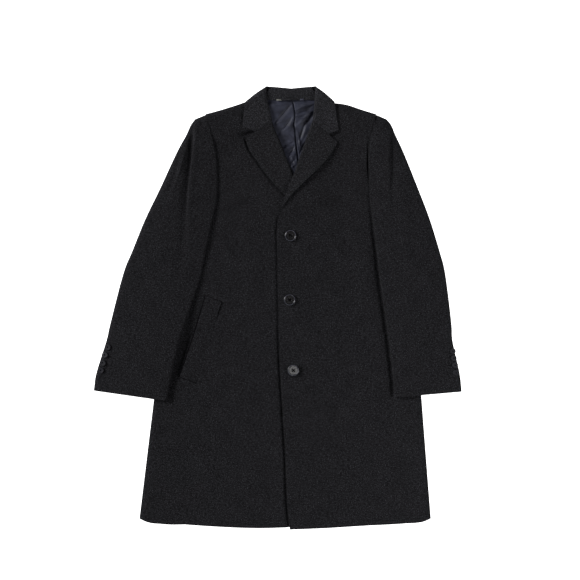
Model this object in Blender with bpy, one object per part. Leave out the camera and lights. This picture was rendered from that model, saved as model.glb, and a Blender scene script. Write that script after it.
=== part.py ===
"""Single-breasted wool car coat, laid flat on its back with the sleeves at its sides.

Built in metres with +Z up: +Y runs from the hem to the collar and +X to the
wearer's left. Every piece of cloth is a closed wall: an outer grid of points and
the same grid moved in by the cloth's thickness. The plan of a piece comes from
the lines that a cutter draws (seams, hem, roll lines), and its height from what
it lies on. Tables are in millimetres.
"""
import math
from collections import namedtuple

import bmesh
import bpy
import numpy as np
from mathutils import Matrix, Vector

NAME = "car_coat"
MM = 0.001

# Cloth
CLOTH = 1.9          # outer cloth of the body
SLEEVE_CLOTH = 1.7
FACED = 2.4          # lapel and collar: cloth, canvas and facing
STAND_CLOTH = 2.0
LINING = 1.0
WELT_CLOTH = 1.6
SEAM = 0.3           # between pieces sewn together
LAP = 0.5            # between a piece and what it lies on

# How the body lies
SIDE_ROLL = 14.0     # width of the front's curve into a side or shoulder seam
BACK_ROLL = 8.0      # the same for the back, which stays flat on the surface
FRONT_STEP = CLOTH + LAP   # rise of the top front where it laps the other
LAP_RISE = 4.3       # its further rise over the right lapel
SETBACK = 8.0        # a front's cut edge behind the roll of its lapel
COLLAR_LIFT = 3.0    # the back neck lies on the collar fall

Point = namedtuple("Point", "x y")
Level = namedtuple("Level", "y thick")
Pad = namedtuple("Pad", "x y rise reach")
# A sleeve section: its two edges, then the seam's distance under it from the outer
# edge, height at the outer edge, radius at the inner edge, crown and fold
Section = namedtuple("Section", "out_x out_y in_x in_y seam loft turn crown fold fold_at")


def points(*pairs):
    return [Point(x, y) for x, y in pairs]


# Thickness of the flattened body from hem to collar, and the shoulder pads
BODY_LEVELS = [Level(-520, 10), Level(-200, 11), Level(100, 12.5), Level(300, 15),
               Level(430, 15), Level(480, 13)]
PADS = [Pad(-165, 395, 4.0, 55), Pad(232, 395, 4.0, 55)]

# Seams and edges in plan, from the hem up or from the wearer's right to the left
SIDE_RIGHT = points((-318, -484), (-285, -212), (-257, 18), (-233, 205))
SIDE_LEFT = points((352, -484), (331, -212), (314, 18), (300, 205))
ARMHOLE_RIGHT = points((-192, 222), (-160, 252), (-145, 296), (-143, 340), (-145.5, 376),
                       (-153.5, 410), (-165.5, 443))
ARMHOLE_LEFT = points((264, 222), (233, 251), (215, 296), (211, 340), (211.5, 376),
                      (216.5, 410), (226, 443))
BACK_ARMHOLE_RIGHT = points((-200, 226), (-182, 253), (-174, 295), (-172, 341), (-171, 387),
                            (-168, 420), (-165.5, 443))
BACK_ARMHOLE_LEFT = points((269, 226), (251, 253), (242, 295), (240, 341), (238, 387), (233, 420), (226, 443))
SHOULDER_RIGHT = points((-165.5, 443), (-132, 452.5), (-92, 465), (-72, 471.5), (-46, 473))
SHOULDER_LEFT = points((109, 470), (134, 468), (152, 466), (196, 452.5), (226, 443))
NECK = points((-46, 473), (-4, 473.5), (31, 473.5), (66, 473), (109, 470))
HEM_RIGHT = points((-318, -484), (-303, -491), (-234, -496), (-151, -502), (-41, -506), (56, -503))
HEM_LEFT = points((28, -509), (125, -505), (208, -500), (290, -495.5), (338, -490), (352, -484))
BACK_HEM = points((-318, -484), (-303, -490), (-150, -497), (30, -498), (290, -492), (338, -489), (352, -484))
EDGE_RIGHT = points((56, -503), (57, -200), (57, 60), (56, 200))
EDGE_LEFT = points((28, -509), (23, -460), (18, -340), (10, -209), (4.5, -110), (2, 18), (0, 120), (2, 202))
ROLL_RIGHT = points((50, 250), (36, 304), (17, 352), (4, 386), (-8, 412), (-13, 430), (-16, 455))
ROLL_LEFT = points((11, 239), (24, 275), (37, 306), (50, 345), (61, 376), (72, 408), (80, 430), (82.5, 455))

# Lapels: the outer edge from the notch down to the break
LAPEL_EDGE_RIGHT = points((-72, 385), (-64, 363), (-44, 333), (-20, 299), (16, 262), (32, 252))
LAPEL_EDGE_LEFT = points((136.7, 379), (127, 362), (113, 340.5), (79, 306), (49, 277), (22.4, 248), (11, 231))
NOTCH_RIGHT, NOTCH_LEFT = Point(-52, 403), Point(117, 398)
GORGE_RIGHT, GORGE_LEFT = Point(-13, 430), Point(80, 430)

# Collar: the fold from the top corner to the gorge, the outline, the leaf's outer edge
COLLAR_FOLD_RIGHT = points((-26, 509), (-25, 482), (-18, 456), (-13, 430))
COLLAR_FOLD_LEFT = points((87, 509), (85, 482), (83, 456), (80, 430))
COLLAR_TOP_RIGHT, COLLAR_TOP_LEFT = Point(-74, 474), Point(130, 474)
COLLAR_TIP_RIGHT, COLLAR_TIP_LEFT = Point(-80, 418), Point(139.7, 406.5)
COLLAR_BACK = Point(30.5, 504.5)     # fold at the centre back
FALL_DEPTH = 48.0                    # from there to the edge beneath
STAND_FOOT = 477.0
STAND_HEIGHT = 8.8

# Lining that shows in the neck: half-widths either side of the pleat
LiningRow = namedtuple("LiningRow", "y right left pleat")
LINING_ROWS = [LiningRow(481, -36, 97, 33), LiningRow(448, -28, 92, 36), LiningRow(419, -20, 86, 37),
               LiningRow(380, -6, 72, 40), LiningRow(340, 12, 58, 45), LiningRow(296, 28, 46, 44)]
PLEAT = 2.2          # height of the pleat's fold
LiningFold = namedtuple("LiningFold", "x0 y0 x1 y1 rise reach")
LINING_FOLDS = [LiningFold(-12, 420, 33, 455, 1.6, 6), LiningFold(2, 400, 34, 424, 1.4, 6),
                LiningFold(40, 428, 82, 452, 1.8, 6)]

SLEEVE_RIGHT = [
    Section(-423, -190, -254, -213, 12, 12.0, 4.6, 2.0, 0.0, 0.60),
    Section(-417, -150, -247, -171, 12, 12.5, 4.8, 3.0, 0.0, 0.60),
    Section(-394, -76, -230, -97, 12, 13.5, 5.2, 4.0, 0.0, 0.62),
    Section(-384, -33, -218, -51, 12, 14.0, 5.5, 4.5, 0.0, 0.64),
    Section(-355, 78, -181, 57, 12, 16.0, 5.5, 4.5, 0.5, 0.68),
    Section(-333, 133, -168.5, 114, 12, 17.0, 5.2, 4.5, 3.0, 0.68),
    Section(-304, 204, -152, 190, 56, 18.5, 4.5, 4.5, 5.5, 0.57),
    Section(-271, 272, -140, 252, 80, 19.5, 3.6, 4.5, 7.0, 0.44),
    Section(-233, 354, -139, 322, 60, 20.0, 3.2, 4.0, 7.0, 0.28),
    Section(-211, 395, -146.2, 376, 38, 19.5, 3.0, 3.0, 5.0, 0.15),
    Section(-200, 419, -155, 412, 28, 18.0, 2.8, 1.5, 2.0, 0.10),
    Section(-190, 433, -166.5, 442.6, 20, 16.0, 2.8, 0.0, 0.0, 0.10),
]
SLEEVE_LEFT = [
    Section(423, -192.5, 267, -205, 12, 12.0, 4.6, 2.0, 0.0, 0.60),
    Section(418, -150, 264.5, -162, 12, 12.5, 4.8, 3.0, 0.0, 0.60),
    Section(402, -76.5, 256, -88, 12, 13.5, 5.2, 4.0, 0.0, 0.62),
    Section(399, -33, 250, -42, 12, 14.0, 5.5, 4.5, 0.0, 0.64),
    Section(385, 78, 234, 68, 12, 16.0, 5.5, 4.5, 0.0, 0.64),
    Section(371, 133, 228, 124, 12, 17.0, 5.2, 4.5, 0.5, 0.66),
    Section(349, 204, 218.5, 195, 43, 18.5, 4.5, 4.5, 2.5, 0.60),
    Section(323, 272, 211, 252, 66, 19.5, 3.6, 4.5, 5.5, 0.52),
    Section(290, 354, 208, 325, 48, 20.0, 3.2, 4.0, 7.5, 0.34),
    Section(271, 395, 212, 380, 30, 19.5, 3.0, 3.0, 6.0, 0.17),
    Section(261, 419, 218, 412, 24, 18.0, 2.8, 1.5, 2.0, 0.10),
    Section(250, 433, 227, 442.6, 19, 16.0, 2.8, 0.0, 0.0, 0.10),
]
UNDERARM_ROW = 5.5       # the under sleeve ends here, counted in sections
OUTER_ROLL = 13.0        # width of the curve at a sleeve's outer edge, on top
OUTER_ROLL_UNDER = 6.0
INNER_ROLL = 9.0
INNER_TURN = 10.0        # the top sleeve goes on this far beneath its inner edge
CLIMB = 22.0             # the under sleeve climbs onto the body in this width
SLEEVE_REST = 1.0        # between the under sleeve and the body
FOLD_REACH = 10.0
CAP_FOOT = 2.4           # from the cap's edge down to the front
CAP_ROLL = 3.2           # radius of the cap's edge along the armhole
CAP_SINK = 5.4           # the cap comes down to the front towards the shoulder

# Welt, corner by corner from its upper outer one, and the bow of its free edge
WELT = points((-165, 27), (-129, 13), (-188, -172), (-224, -158))
WELT_BOW = 2.0

LOOP_ENDS = points((3, 478), (58, 479))
LOOP_WIDTH, LOOP_RISE = 4.0, 2.5

# Buttons
FRONT_BUTTON, FRONT_BUTTON_THICK = 27.0, 4.0
CUFF_BUTTON, CUFF_BUTTON_THICK = 14.5, 3.0
FRONT_BUTTONS = points((29.3, 165.5), (27.3, 18.1), (36, -143.2))
LAST_BUTTON_TILT = 3.0   # degrees, towards the wearer's right
CUFF_BUTTONS_RIGHT = points((-389.5, -90.5), (-395.5, -108), (-400.5, -126), (-405, -143.4))
CUFF_BUTTONS_LEFT = points((401, -99.5), (403.5, -116.5), (406.4, -132.4), (408.5, -149.4))


# Lines and grids

def smooth(t):
    t = np.clip(t, 0, 1)
    return t * t * (3 - 2 * t)


def hermite(rows, knots, t):
    """Smooth values through the rows at the knots, for any array of t."""
    rows, t = np.array(rows, float), np.asarray(t, float)
    slope = np.gradient(rows, knots, axis=0)
    k = np.clip(np.searchsorted(knots, t, side="right") - 1, 0, len(knots) - 2)
    step = knots[k + 1] - knots[k]
    f = ((t - knots[k]) / step)[..., None]
    step = step[..., None]
    return (rows[k] * (1 + 2 * f) * (1 - f) ** 2 + rows[k + 1] * f * f * (3 - 2 * f)
            + step * (slope[k] * f * (1 - f) ** 2 - slope[k + 1] * f * f * (1 - f)))


def line(rows, t):
    """Points along a line through the rows, t from 0 to 1 by its length; a row given twice is a corner."""
    rows, t = np.array(rows, float), np.asarray(t, float)
    steps = np.linalg.norm(np.diff(rows, axis=0), axis=1)
    knots = np.concatenate(([0], np.cumsum(steps))) / steps.sum()
    ends = [0, *(np.flatnonzero(steps == 0) + 1), len(rows)]
    way = np.empty(t.shape + (2,))
    for first, last in zip(ends[:-1], ends[1:]):
        part = (t >= knots[first] - 1e-9) & (t <= knots[last - 1] + 1e-9)
        way[part] = hermite(rows[first:last], knots[first:last], t[part])
    return way


def corner_at(*rows):
    """Share of a line's length at its first corner."""
    steps = np.linalg.norm(np.diff(np.array(rows, float), axis=0), axis=1)
    return np.cumsum(steps)[np.flatnonzero(steps == 0)[0]] / steps.sum()


def sections(rows, k):
    """A sleeve's sections at row numbers k, whole or between."""
    number = np.arange(len(rows), dtype=float)
    found = Section(*np.moveaxis(hermite(rows, number, k), -1, 0))
    return found._replace(seam=np.interp(k, number, [row.seam for row in rows]))


def patch(bottom, top, left, right, u, v):
    """Plan points between four edge lines, at u across and v up."""
    u, v = np.meshgrid(u, v)
    b, t, l, r = line(bottom, u), line(top, u), line(left, v), line(right, v)
    u, v = u[..., None], v[..., None]
    corner = np.array([bottom[0], bottom[-1], top[0], top[-1]], float)
    return ((1 - v) * b + v * t + (1 - u) * l + u * r
            - (1 - u) * ((1 - v) * corner[0] + v * corner[2])
            - u * ((1 - v) * corner[1] + v * corner[3]))


def distance(plan, rows):
    """Distance of plan points from a line through the rows."""
    way = line(rows, np.linspace(0, 1, 161))
    a, b = way[:-1], way[1:]
    flat = plan.reshape(-1, 1, 2)
    along = np.clip(((flat - a) * (b - a)).sum(-1) / ((b - a) ** 2).sum(-1), 0, 1)
    near = a + along[..., None] * (b - a)
    return np.linalg.norm(flat - near, axis=-1).min(1).reshape(plan.shape[:-1])


def shifted(rows, dx):
    return [Point(p.x + dx, p.y) for p in rows]


def quarter(d, width):
    """Rise of a quarter-round edge: 0 at the edge, 1 from its width on."""
    return np.sqrt(np.clip(1 - (1 - np.clip(d / width, 0, 1)) ** 2, 0, 1))


def toward_edge(edge_steps, inner, edge_width=0.04):
    """Samples from 0 to 1 that start closely, for a rolled edge."""
    angles = np.linspace(0, math.pi / 2, edge_steps + 1)[:-1]
    return np.concatenate([edge_width * (1 - np.cos(angles)), np.linspace(edge_width, 1, inner)])


# Heights

def rim_distance(plan):
    """Distance from the side and shoulder seams."""
    seams = (SIDE_RIGHT, SIDE_LEFT, SHOULDER_RIGHT, SHOULDER_LEFT)
    d = np.min([distance(plan, seam) for seam in seams], axis=0)
    return np.where(d < 0.3, 0, d)


def rim_rise(plan, width):
    """0 at the side and shoulder seams, 1 away from them and at the underarm."""
    underarm = smooth((plan[..., 1] - 120) / 70) * (1 - smooth((plan[..., 1] - 330) / 50))
    return 1 - (1 - underarm) * (1 - quarter(rim_distance(plan), width))


def at_rim(plan):
    return rim_rise(plan, SIDE_ROLL) < 0.02


def thickness(plan):
    x, y = plan[..., 0], plan[..., 1]
    ys, thick = zip(*BODY_LEVELS)
    value = np.interp(y, ys, thick)
    for pad in PADS:
        value = value + pad.rise * np.exp(-((x - pad.x) ** 2 + (y - pad.y) ** 2) / pad.reach ** 2)
    return value


def front_height(plan):
    """Top of the fronts where neither laps the other."""
    full = thickness(plan)
    return full / 2 + SEAM / 2 + (full / 2 - SEAM / 2) * rim_rise(plan, SIDE_ROLL)


def top_front_height(plan):
    """Top of the left front, which lies over the right front and its lapel."""
    x, y = plan[..., 0], plan[..., 1]
    lap = FRONT_STEP * (1 - smooth((x - 62) / 120))
    over_lapel = (1 - smooth((x - 58) / 80)) * smooth((y - 178) / 72) * (1 - smooth((y - 325) / 60))
    return front_height(plan) + (lap + LAP_RISE * over_lapel) * smooth(rim_distance(plan) / 40)


def back_height(plan):
    """Underside of the back."""
    x, y = plan[..., 0], plan[..., 1]
    lift = COLLAR_LIFT * smooth((y - 425) / 25) * smooth((x + 112) / 25) * smooth((168 - x) / 25)
    edge = rim_rise(plan, BACK_ROLL)
    return (thickness(plan) / 2 - SEAM / 2) * (1 - edge) + lift * edge


def inside_body(plan, side):
    """How far in from the side line plan points lie, less than 0 outside."""
    rows = SIDE_RIGHT if side > 0 else SIDE_LEFT
    way = line(rows, np.linspace(0, 1, 40))
    end = way[-1] + (way[-1] - way[-2]) * 12
    way = np.vstack([way, end])
    return side * (plan[..., 0] - np.interp(plan[..., 1], way[:, 1], way[:, 0]))


def sleeve_rest(plan, side):
    """Underside of a sleeve: on the surface, then up and over the body."""
    depth = inside_body(plan, side)
    return (thickness(plan) + SLEEVE_REST) * smooth((depth + CLIMB) / (CLIMB + 2))


# Solids

collection = bpy.data.collections.new(NAME)


def make_object(name, verts, faces, colour):
    mesh = bpy.data.meshes.new(name)
    mesh.from_pydata([tuple(v) for v in np.asarray(verts) * MM], [], faces)
    material = bpy.data.materials.new(name)
    material.use_nodes = True
    material.node_tree.nodes["Principled BSDF"].inputs["Base Color"].default_value = (*colour, 1)
    mesh.materials.append(material)
    part = bpy.data.objects.new(name, mesh)
    collection.objects.link(part)
    return part


def grid_normals(grid):
    across, up = np.gradient(grid, axis=1), np.gradient(grid, axis=0)
    normal = np.cross(across, up)
    return normal / np.maximum(np.linalg.norm(normal, axis=-1, keepdims=True), 1e-9)


def wall(name, grid, thick, colour, below=False, level=None):
    """A closed wall inward of an outer grid; where level is 1 it goes in horizontally."""
    normal = grid_normals(grid)
    if level is not None:
        flat = normal * (1, 1, 0)
        flat /= np.maximum(np.linalg.norm(flat, axis=-1, keepdims=True), 1e-9)
        normal = normal + (flat - normal) * level[..., None]
        normal /= np.linalg.norm(normal, axis=-1, keepdims=True)
    inner = grid + thick * normal if below else grid - thick * normal
    rows, cols = grid.shape[:2]
    index = np.arange(rows * cols).reshape(rows, cols)
    a, b, c, d = index[:-1, :-1], index[:-1, 1:], index[1:, 1:], index[1:, :-1]
    outer = np.stack([a, b, c, d], -1).reshape(-1, 4)
    count = rows * cols
    ring = np.concatenate([index[0, :-1], index[:-1, -1], index[-1, :0:-1], index[:0:-1, 0]])
    after = np.roll(ring, -1)
    strip = np.stack([after, ring, ring + count, after + count], -1)
    faces = np.concatenate([outer, outer[:, ::-1] + count, strip])
    faces = (faces[:, ::-1] if below else faces).tolist()
    return make_object(name, np.concatenate([grid.reshape(-1, 3), inner.reshape(-1, 3)]), faces, colour)


def raised(plan, height):
    return np.concatenate([plan, height[..., None]], -1)


WOOL, DARK, SATIN, HORN = (0.03, 0.03, 0.035), (0.02, 0.02, 0.024), (0.05, 0.055, 0.09), (0.01, 0.01, 0.012)


def body_rows(skirt=7, chest=13):
    """Rows from the hem up, closer over the chest and closest at the shoulder."""
    return np.concatenate([np.linspace(0, 0.62, skirt), np.linspace(0.66, 0.985, chest),
                           [0.994, 0.9985, 1.0]])


def seam_and_armhole(side, armhole):
    """A panel's outer edge, with a corner at the underarm."""
    return side + [side[-1]] + armhole


def build_body():
    outer = seam_and_armhole(SIDE_RIGHT, ARMHOLE_RIGHT)
    v = np.sort(np.append(body_rows(), corner_at(*outer)))
    side = toward_edge(3, 9)
    right = patch(HEM_RIGHT, SHOULDER_RIGHT, outer,
                  EDGE_RIGHT + shifted(ROLL_RIGHT, -SETBACK) + [SHOULDER_RIGHT[-1]], side, v)
    wall("front_right", raised(right, front_height(right)), CLOTH, WOOL, level=at_rim(right))
    outer = seam_and_armhole(SIDE_LEFT, ARMHOLE_LEFT)
    v = np.sort(np.append(body_rows(), corner_at(*outer)))
    left = patch(HEM_LEFT, SHOULDER_LEFT, EDGE_LEFT + shifted(ROLL_LEFT, SETBACK) + [SHOULDER_LEFT[0]],
                 outer, 1 - side[::-1], v)
    wall("front_left", raised(left, top_front_height(left)), CLOTH, WOOL, level=at_rim(left))
    edge = toward_edge(3, 7, 0.014)
    across = np.concatenate([edge / 2, 1 - edge[::-1][1:] / 2])
    top = SHOULDER_RIGHT + NECK[1:-1] + SHOULDER_LEFT
    back = patch(BACK_HEM, top, seam_and_armhole(SIDE_RIGHT, BACK_ARMHOLE_RIGHT),
                 seam_and_armhole(SIDE_LEFT, BACK_ARMHOLE_LEFT), across, v)
    wall("back", raised(back, back_height(back)), CLOTH, WOOL, below=True, level=at_rim(back))


def lapel_grid(roll, edge, notch, gorge, lies_on, drop, lift, down, across):
    """A lapel's outer face: rolled over at the break line, eased up at its edge."""
    fold = [gorge] + [p for p in roll[::-1] if p.y < gorge.y - 1]
    outer = [notch, edge[0]] + edge
    plan = patch([gorge, notch], [fold[-1], outer[-1]], fold, outer, across, down)
    from_fold = distance(plan, fold)
    t, v = np.meshgrid(across, down)
    spring = lift * smooth((t - 0.35) / 0.65) * np.sin(math.pi * np.clip(v, 0, 1)) ** 0.7
    fading = 1 - smooth((v - 0.55) / 0.3)
    height = lies_on(plan) + LAP + FACED + spring - drop * fading * (1 - quarter(from_fold, 6.0))
    return raised(plan, height), (from_fold < 0.3) * fading


def build_lapels():
    across = np.concatenate([[0, 0.02, 0.07, 0.16], np.linspace(0.34, 1, 4)])
    tip = corner_at(NOTCH_LEFT, LAPEL_EDGE_LEFT[0], *LAPEL_EDGE_LEFT)
    down = np.concatenate([[0], np.linspace(tip, 1, 11)])
    grid, level = lapel_grid(ROLL_RIGHT, LAPEL_EDGE_RIGHT, NOTCH_RIGHT, GORGE_RIGHT, front_height,
                             4.2, 0.8, down, across)
    wall("lapel_right", grid[:, ::-1], FACED, WOOL, below=True, level=level[:, ::-1])
    grid, level = lapel_grid(ROLL_LEFT, LAPEL_EDGE_LEFT, NOTCH_LEFT, GORGE_LEFT, top_front_height,
                             4.2, 2.4, down, across)
    wall("lapel_left", grid, FACED, WOOL, below=True, level=level)


def build_sleeve(name, rows, side):
    """Top and under sleeve as rings from the hind-arm seam over the top to the front seam."""
    k = np.array([0, 0.35, 1, 2, 3, 4, 5, 5.5, 6, 6.5, 7, 7.5, 8, 8.5, 9, 9.5, 10, 10.5, 10.85, 11])
    top = sleeve_ring(rows, side, k)
    closed = np.zeros(top.shape[:2], bool)
    closed[-1] = True
    wall("top_sleeve_" + name, top, SLEEVE_CLOTH, WOOL, below=side < 0, level=closed)
    under = under_sleeve_ring(rows, side, k[k <= UNDERARM_ROW])
    wall("under_sleeve_" + name, under, SLEEVE_CLOTH, WOOL, below=side > 0)


def section_frame(rows, k):
    s = sections(rows, k)
    start, end = np.stack([s.out_x, s.out_y], -1), np.stack([s.in_x, s.in_y], -1)
    width = np.linalg.norm(end - start, axis=-1)
    return s, start, (end - start) / width[:, None], width


def sleeve_ring(rows, side, k, seam_steps=2, roll_steps=3, top_steps=9, inner_steps=3):
    s, start, way, width = section_frame(rows, k)
    col = lambda values: np.asarray(values)[:, None]
    end_plan = start + way * width[:, None]
    rest = sleeve_rest(end_plan, side) - CAP_SINK * smooth(k - 8.9)
    closing = quarter(len(rows) - 1 - k, 1.2)            # the cap closes at the shoulder
    scale = np.minimum(1, width / 60)

    seam = np.linspace(0, 1, seam_steps + 1)[:-1]
    low = np.radians(np.linspace(-90, 0, roll_steps + 1)[:-1])
    high = np.radians(np.linspace(0, 90, roll_steps + 1)[:-1])
    mid = np.linspace(0, 1, top_steps + 1)
    lying = 1 - smooth((k - UNDERARM_ROW - 0.7) / 2)     # below the underarm the inner edge lies on the body
    outer_roll, inner_roll = OUTER_ROLL * scale, CAP_ROLL + (INNER_ROLL - CAP_ROLL) * lying
    opening = smooth((k - 9.2) / 1.5)                    # and at the shoulder it runs out flat
    turn = np.radians(90 - col(95 + 85 * lying - 60 * opening) * np.linspace(0, 1, 2 * inner_steps + 1)[1:])
    back = np.array([0.5, 1.0])

    under_roll = OUTER_ROLL_UNDER * scale
    last = col(width) - col(inner_roll) * (1 - np.cos(turn))
    across = np.concatenate([
        col(np.maximum(s.seam, under_roll)) * (1 - seam) + col(under_roll) * seam,
        col(under_roll) * (1 - np.cos(low)),
        col(outer_roll) * (1 - np.cos(high)),
        col(outer_roll) + col(width - outer_roll - inner_roll) * mid,
        last, last[:, -1:] + col(0.65 * opening - INNER_TURN * lying) * back], 1)
    share = np.clip(across / col(width), 0, 1)
    inner_top = rest + 2 * s.turn
    crown = col(s.loft) + col(inner_top - s.loft) * smooth(share) + col(s.crown) * np.sin(math.pi * share)
    crown = crown - col(s.fold) * np.exp(-((share - col(s.fold_at)) * col(width) / FOLD_REACH) ** 2)

    floor = np.zeros((len(k), seam_steps))
    lower = col(s.loft / 2) * (1 + np.sin(low))
    first = seam_steps + roll_steps
    upper = crown[:, first:first + roll_steps]
    upper = col(s.loft / 2) + (upper - col(s.loft / 2)) * np.sin(high)
    middle = crown[:, first + roll_steps:first + roll_steps + top_steps + 1]
    inner_centre = rest + s.turn
    top_end = middle[:, -1:]
    bend = col(inner_centre) + np.where(turn > 0, top_end - col(inner_centre), col(s.turn)) * np.sin(turn)
    count = across.shape[1] - len(back)
    under_plan = start[:, None] + way[:, None] * across[:, count:, None]
    foot = (1 - lying) * (CAP_FOOT + (0.46 - CAP_FOOT) * opening)
    tail = bend[:, -1:] - col(foot) * back + col(lying) * (sleeve_rest(under_plan, side) - col(rest))
    height = np.concatenate([floor, lower, upper, middle, bend, tail], 1)
    centre = col(s.loft) * 0.5
    height = centre + (height - centre) * np.maximum(col(closing), 0.12)
    return raised(start[:, None] + way[:, None] * across[..., None], height)


def under_sleeve_ring(rows, side, k, steps=16):
    """From the front seam, down off the body and out to the hind-arm seam."""
    s, start, way, width = section_frame(rows, k)
    gap = 0.6
    last = width - INNER_ROLL - INNER_TURN - gap
    depth = inside_body(np.stack([start, start + way * width[:, None]]), side)
    reach = width / (depth[1] - depth[0])
    climb, land = reach * (-CLIMB - depth[0]), reach * (2 - depth[0])
    stops = np.stack([s.seam + gap, climb, land, last], -1)
    across = np.stack([np.interp(np.linspace(0, 3, steps), range(4), stop) for stop in np.sort(stops, -1)])
    plan = start[:, None] + way[:, None] * across[..., None]
    return raised(plan, sleeve_rest(plan, side))


def build_collar():
    """The fall in one piece: a leaf, round the outline, beneath the neck, and the other leaf."""
    across = np.array([0, 0.06, 0.16, 0.35, 0.8, 1.0])
    along = np.concatenate([[0, 0.06, 0.15], np.linspace(0.27, 1, 7)])
    leaves = []
    for side, fold, top, tip, notch, gorge, lies_on in (
            (1, COLLAR_FOLD_RIGHT, COLLAR_TOP_RIGHT, COLLAR_TIP_RIGHT, NOTCH_RIGHT, GORGE_RIGHT,
             front_crown),
            (-1, COLLAR_FOLD_LEFT, COLLAR_TOP_LEFT, COLLAR_TIP_LEFT, NOTCH_LEFT, GORGE_LEFT,
             top_front_crown)):
        meet = Point(notch.x, notch.y + 0.8)
        lower = [Point(gorge.x, gorge.y + 0.8), meet, meet, tip]
        t = np.sort(np.append(across, corner_at(*lower)))
        fold = fold[:-1] + [lower[0]]
        outline = [fold[0], Point((fold[0].x + top.x) / 2 - side, (fold[0].y + top.y) / 2 + 1), top]
        leaf_edge = [top, Point((top.x + tip.x) / 2, (top.y + tip.y) / 2), tip]
        plan = patch(outline, lower, fold, leaf_edge, t, along)
        full = lies_on(plan) + LAP + FACED
        edge = quarter(distance(plan, outline), 9.0)
        rolled = quarter(distance(plan, fold), 7.0)
        centre = full / 2 + (full / 2 - 5) * smooth(distance(plan, outline) / 25)
        top_face = raised(plan, centre + (full - centre) * edge * rolled)
        middle = [fold[0], Point((fold[0].x * 2 + COLLAR_BACK.x) / 3, fold[0].y - 1), COLLAR_BACK]
        foot = [top, Point((top.x * 2 + COLLAR_BACK.x) / 3, COLLAR_BACK.y - FALL_DEPTH + 8),
                Point(COLLAR_BACK.x, COLLAR_BACK.y - FALL_DEPTH)]
        plan = patch(outline, [middle[-1], foot[-1]], middle, foot, t, along)
        edge = quarter(distance(plan, outline), 9.0)
        rolled = quarter(distance(plan, middle), 7.0)
        full = lies_on(plan) + LAP + FACED
        centre = full / 2 + (STAND_HEIGHT / 2 - SEAM / 2 - full / 2) * smooth(distance(plan, outline) / 12)
        beneath = raised(plan, centre * (1 - edge * rolled))
        leaves.append(np.concatenate([top_face[::-1], beneath[1:]]))
    ring = np.concatenate([leaves[0], leaves[1][::-1][1:]])
    folded = np.zeros(ring.shape[:2])
    folded[:, 0] = smooth(np.abs(np.abs(np.arange(len(ring)) - len(ring) // 2) - len(along) + 1) / 2)
    wall("collar_fall", ring, FACED, WOOL, below=True, level=folded)


def front_crown(plan):
    return thickness(plan)


def top_front_crown(plan):
    return thickness(plan) + FRONT_STEP * (1 - smooth((plan[..., 0] - 62) / 120))


def build_neck():
    """Collar stand, the lining below it and the hanger loop."""
    u, v = np.linspace(0, 1, 15), np.array([0, 0.25, 0.5, 0.7, 0.84, 0.94, 1.0])
    fold = points((-12, 505.6), (COLLAR_BACK.x, COLLAR_BACK.y - 0.3), (73, 505.6))
    foot = points((-42, STAND_FOOT), (COLLAR_BACK.x, STAND_FOOT), (103, STAND_FOOT))
    plan = patch(foot, fold, [foot[0], fold[0]], [foot[-1], fold[-1]], u, v)
    bend = quarter(distance(plan, fold), 6.0)
    low = STAND_HEIGHT / 2 + SEAM / 2
    wall("collar_stand", raised(plan, low + (STAND_HEIGHT - low) * bend), STAND_CLOTH, WOOL,
         level=distance(plan, fold) < 0.3)

    v = np.linspace(0, 1, 14)
    rows = LINING_ROWS[::-1]
    edge_right, edge_left = [Point(r.right, r.y) for r in rows], [Point(r.left, r.y) for r in rows]
    plan = patch([edge_right[0], edge_left[0]], [edge_right[-1], edge_left[-1]], edge_right, edge_left,
                 np.linspace(0, 1, 17), v)
    x, y = plan[..., 0], plan[..., 1]
    pleat = np.interp(y, [r.y for r in rows], [r.pleat for r in rows])
    relief = PLEAT * np.exp(-np.where(x < pleat, (pleat - x) / 16, (x - pleat) / 3.5))
    for fold in LINING_FOLDS:
        aside = distance(plan, points((fold.x0, fold.y0), (fold.x1, fold.y1)))
        relief = relief + fold.rise * np.exp(-(aside / fold.reach) ** 2)
    lift = COLLAR_LIFT * smooth((y - 370) / 60)
    height = lift + CLOTH + LAP + LINING + relief * smooth((478 - y) / 25)
    wall("back_lining", raised(plan, height), LINING, SATIN)

    v = np.linspace(0, 1, 11)
    ends = [np.array(p, float) for p in LOOP_ENDS]
    way = ends[0] + (ends[1] - ends[0]) * v[:, None]
    plan = way[None] + np.array([0, 1.0]) * np.linspace(-LOOP_WIDTH / 2, LOOP_WIDTH / 2, 3)[:, None, None]
    height = STAND_HEIGHT + SEAM + LINING + LOOP_RISE * np.sin(math.pi * v) ** 2
    wall("hanger_loop", raised(plan, np.broadcast_to(height, plan.shape[:2])), LINING, DARK)


def build_welt():
    outer_top, inner_top, inner_foot, outer_foot = WELT
    middle = Point((outer_top.x + outer_foot.x) / 2 + WELT_BOW,
                   (outer_top.y + outer_foot.y) / 2 + WELT_BOW / 3)
    plan = patch([outer_foot, inner_foot], [outer_top, inner_top], [outer_foot, middle, outer_top],
                 [inner_foot, inner_top], np.linspace(0, 1, 4), np.linspace(0, 1, 11))
    wall("pocket_welt_right", raised(plan, front_height(plan) + LAP + WELT_CLOTH), WELT_CLOTH, DARK)


# Buttons

Ring = namedtuple("Ring", "radius height")
# A button's profile as shares of its radius and thickness, from the centre beneath to the dish
BUTTON_RINGS = [Ring(0.62, 0.0), Ring(0.94, 0.28), Ring(1.0, 0.58), Ring(0.94, 0.92), Ring(0.86, 1.0),
                Ring(0.74, 0.93), Ring(0.62, 0.70)]
HOLE_SPREAD, HOLE_SIZE = 0.21, 0.095     # of the button's radius


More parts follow.
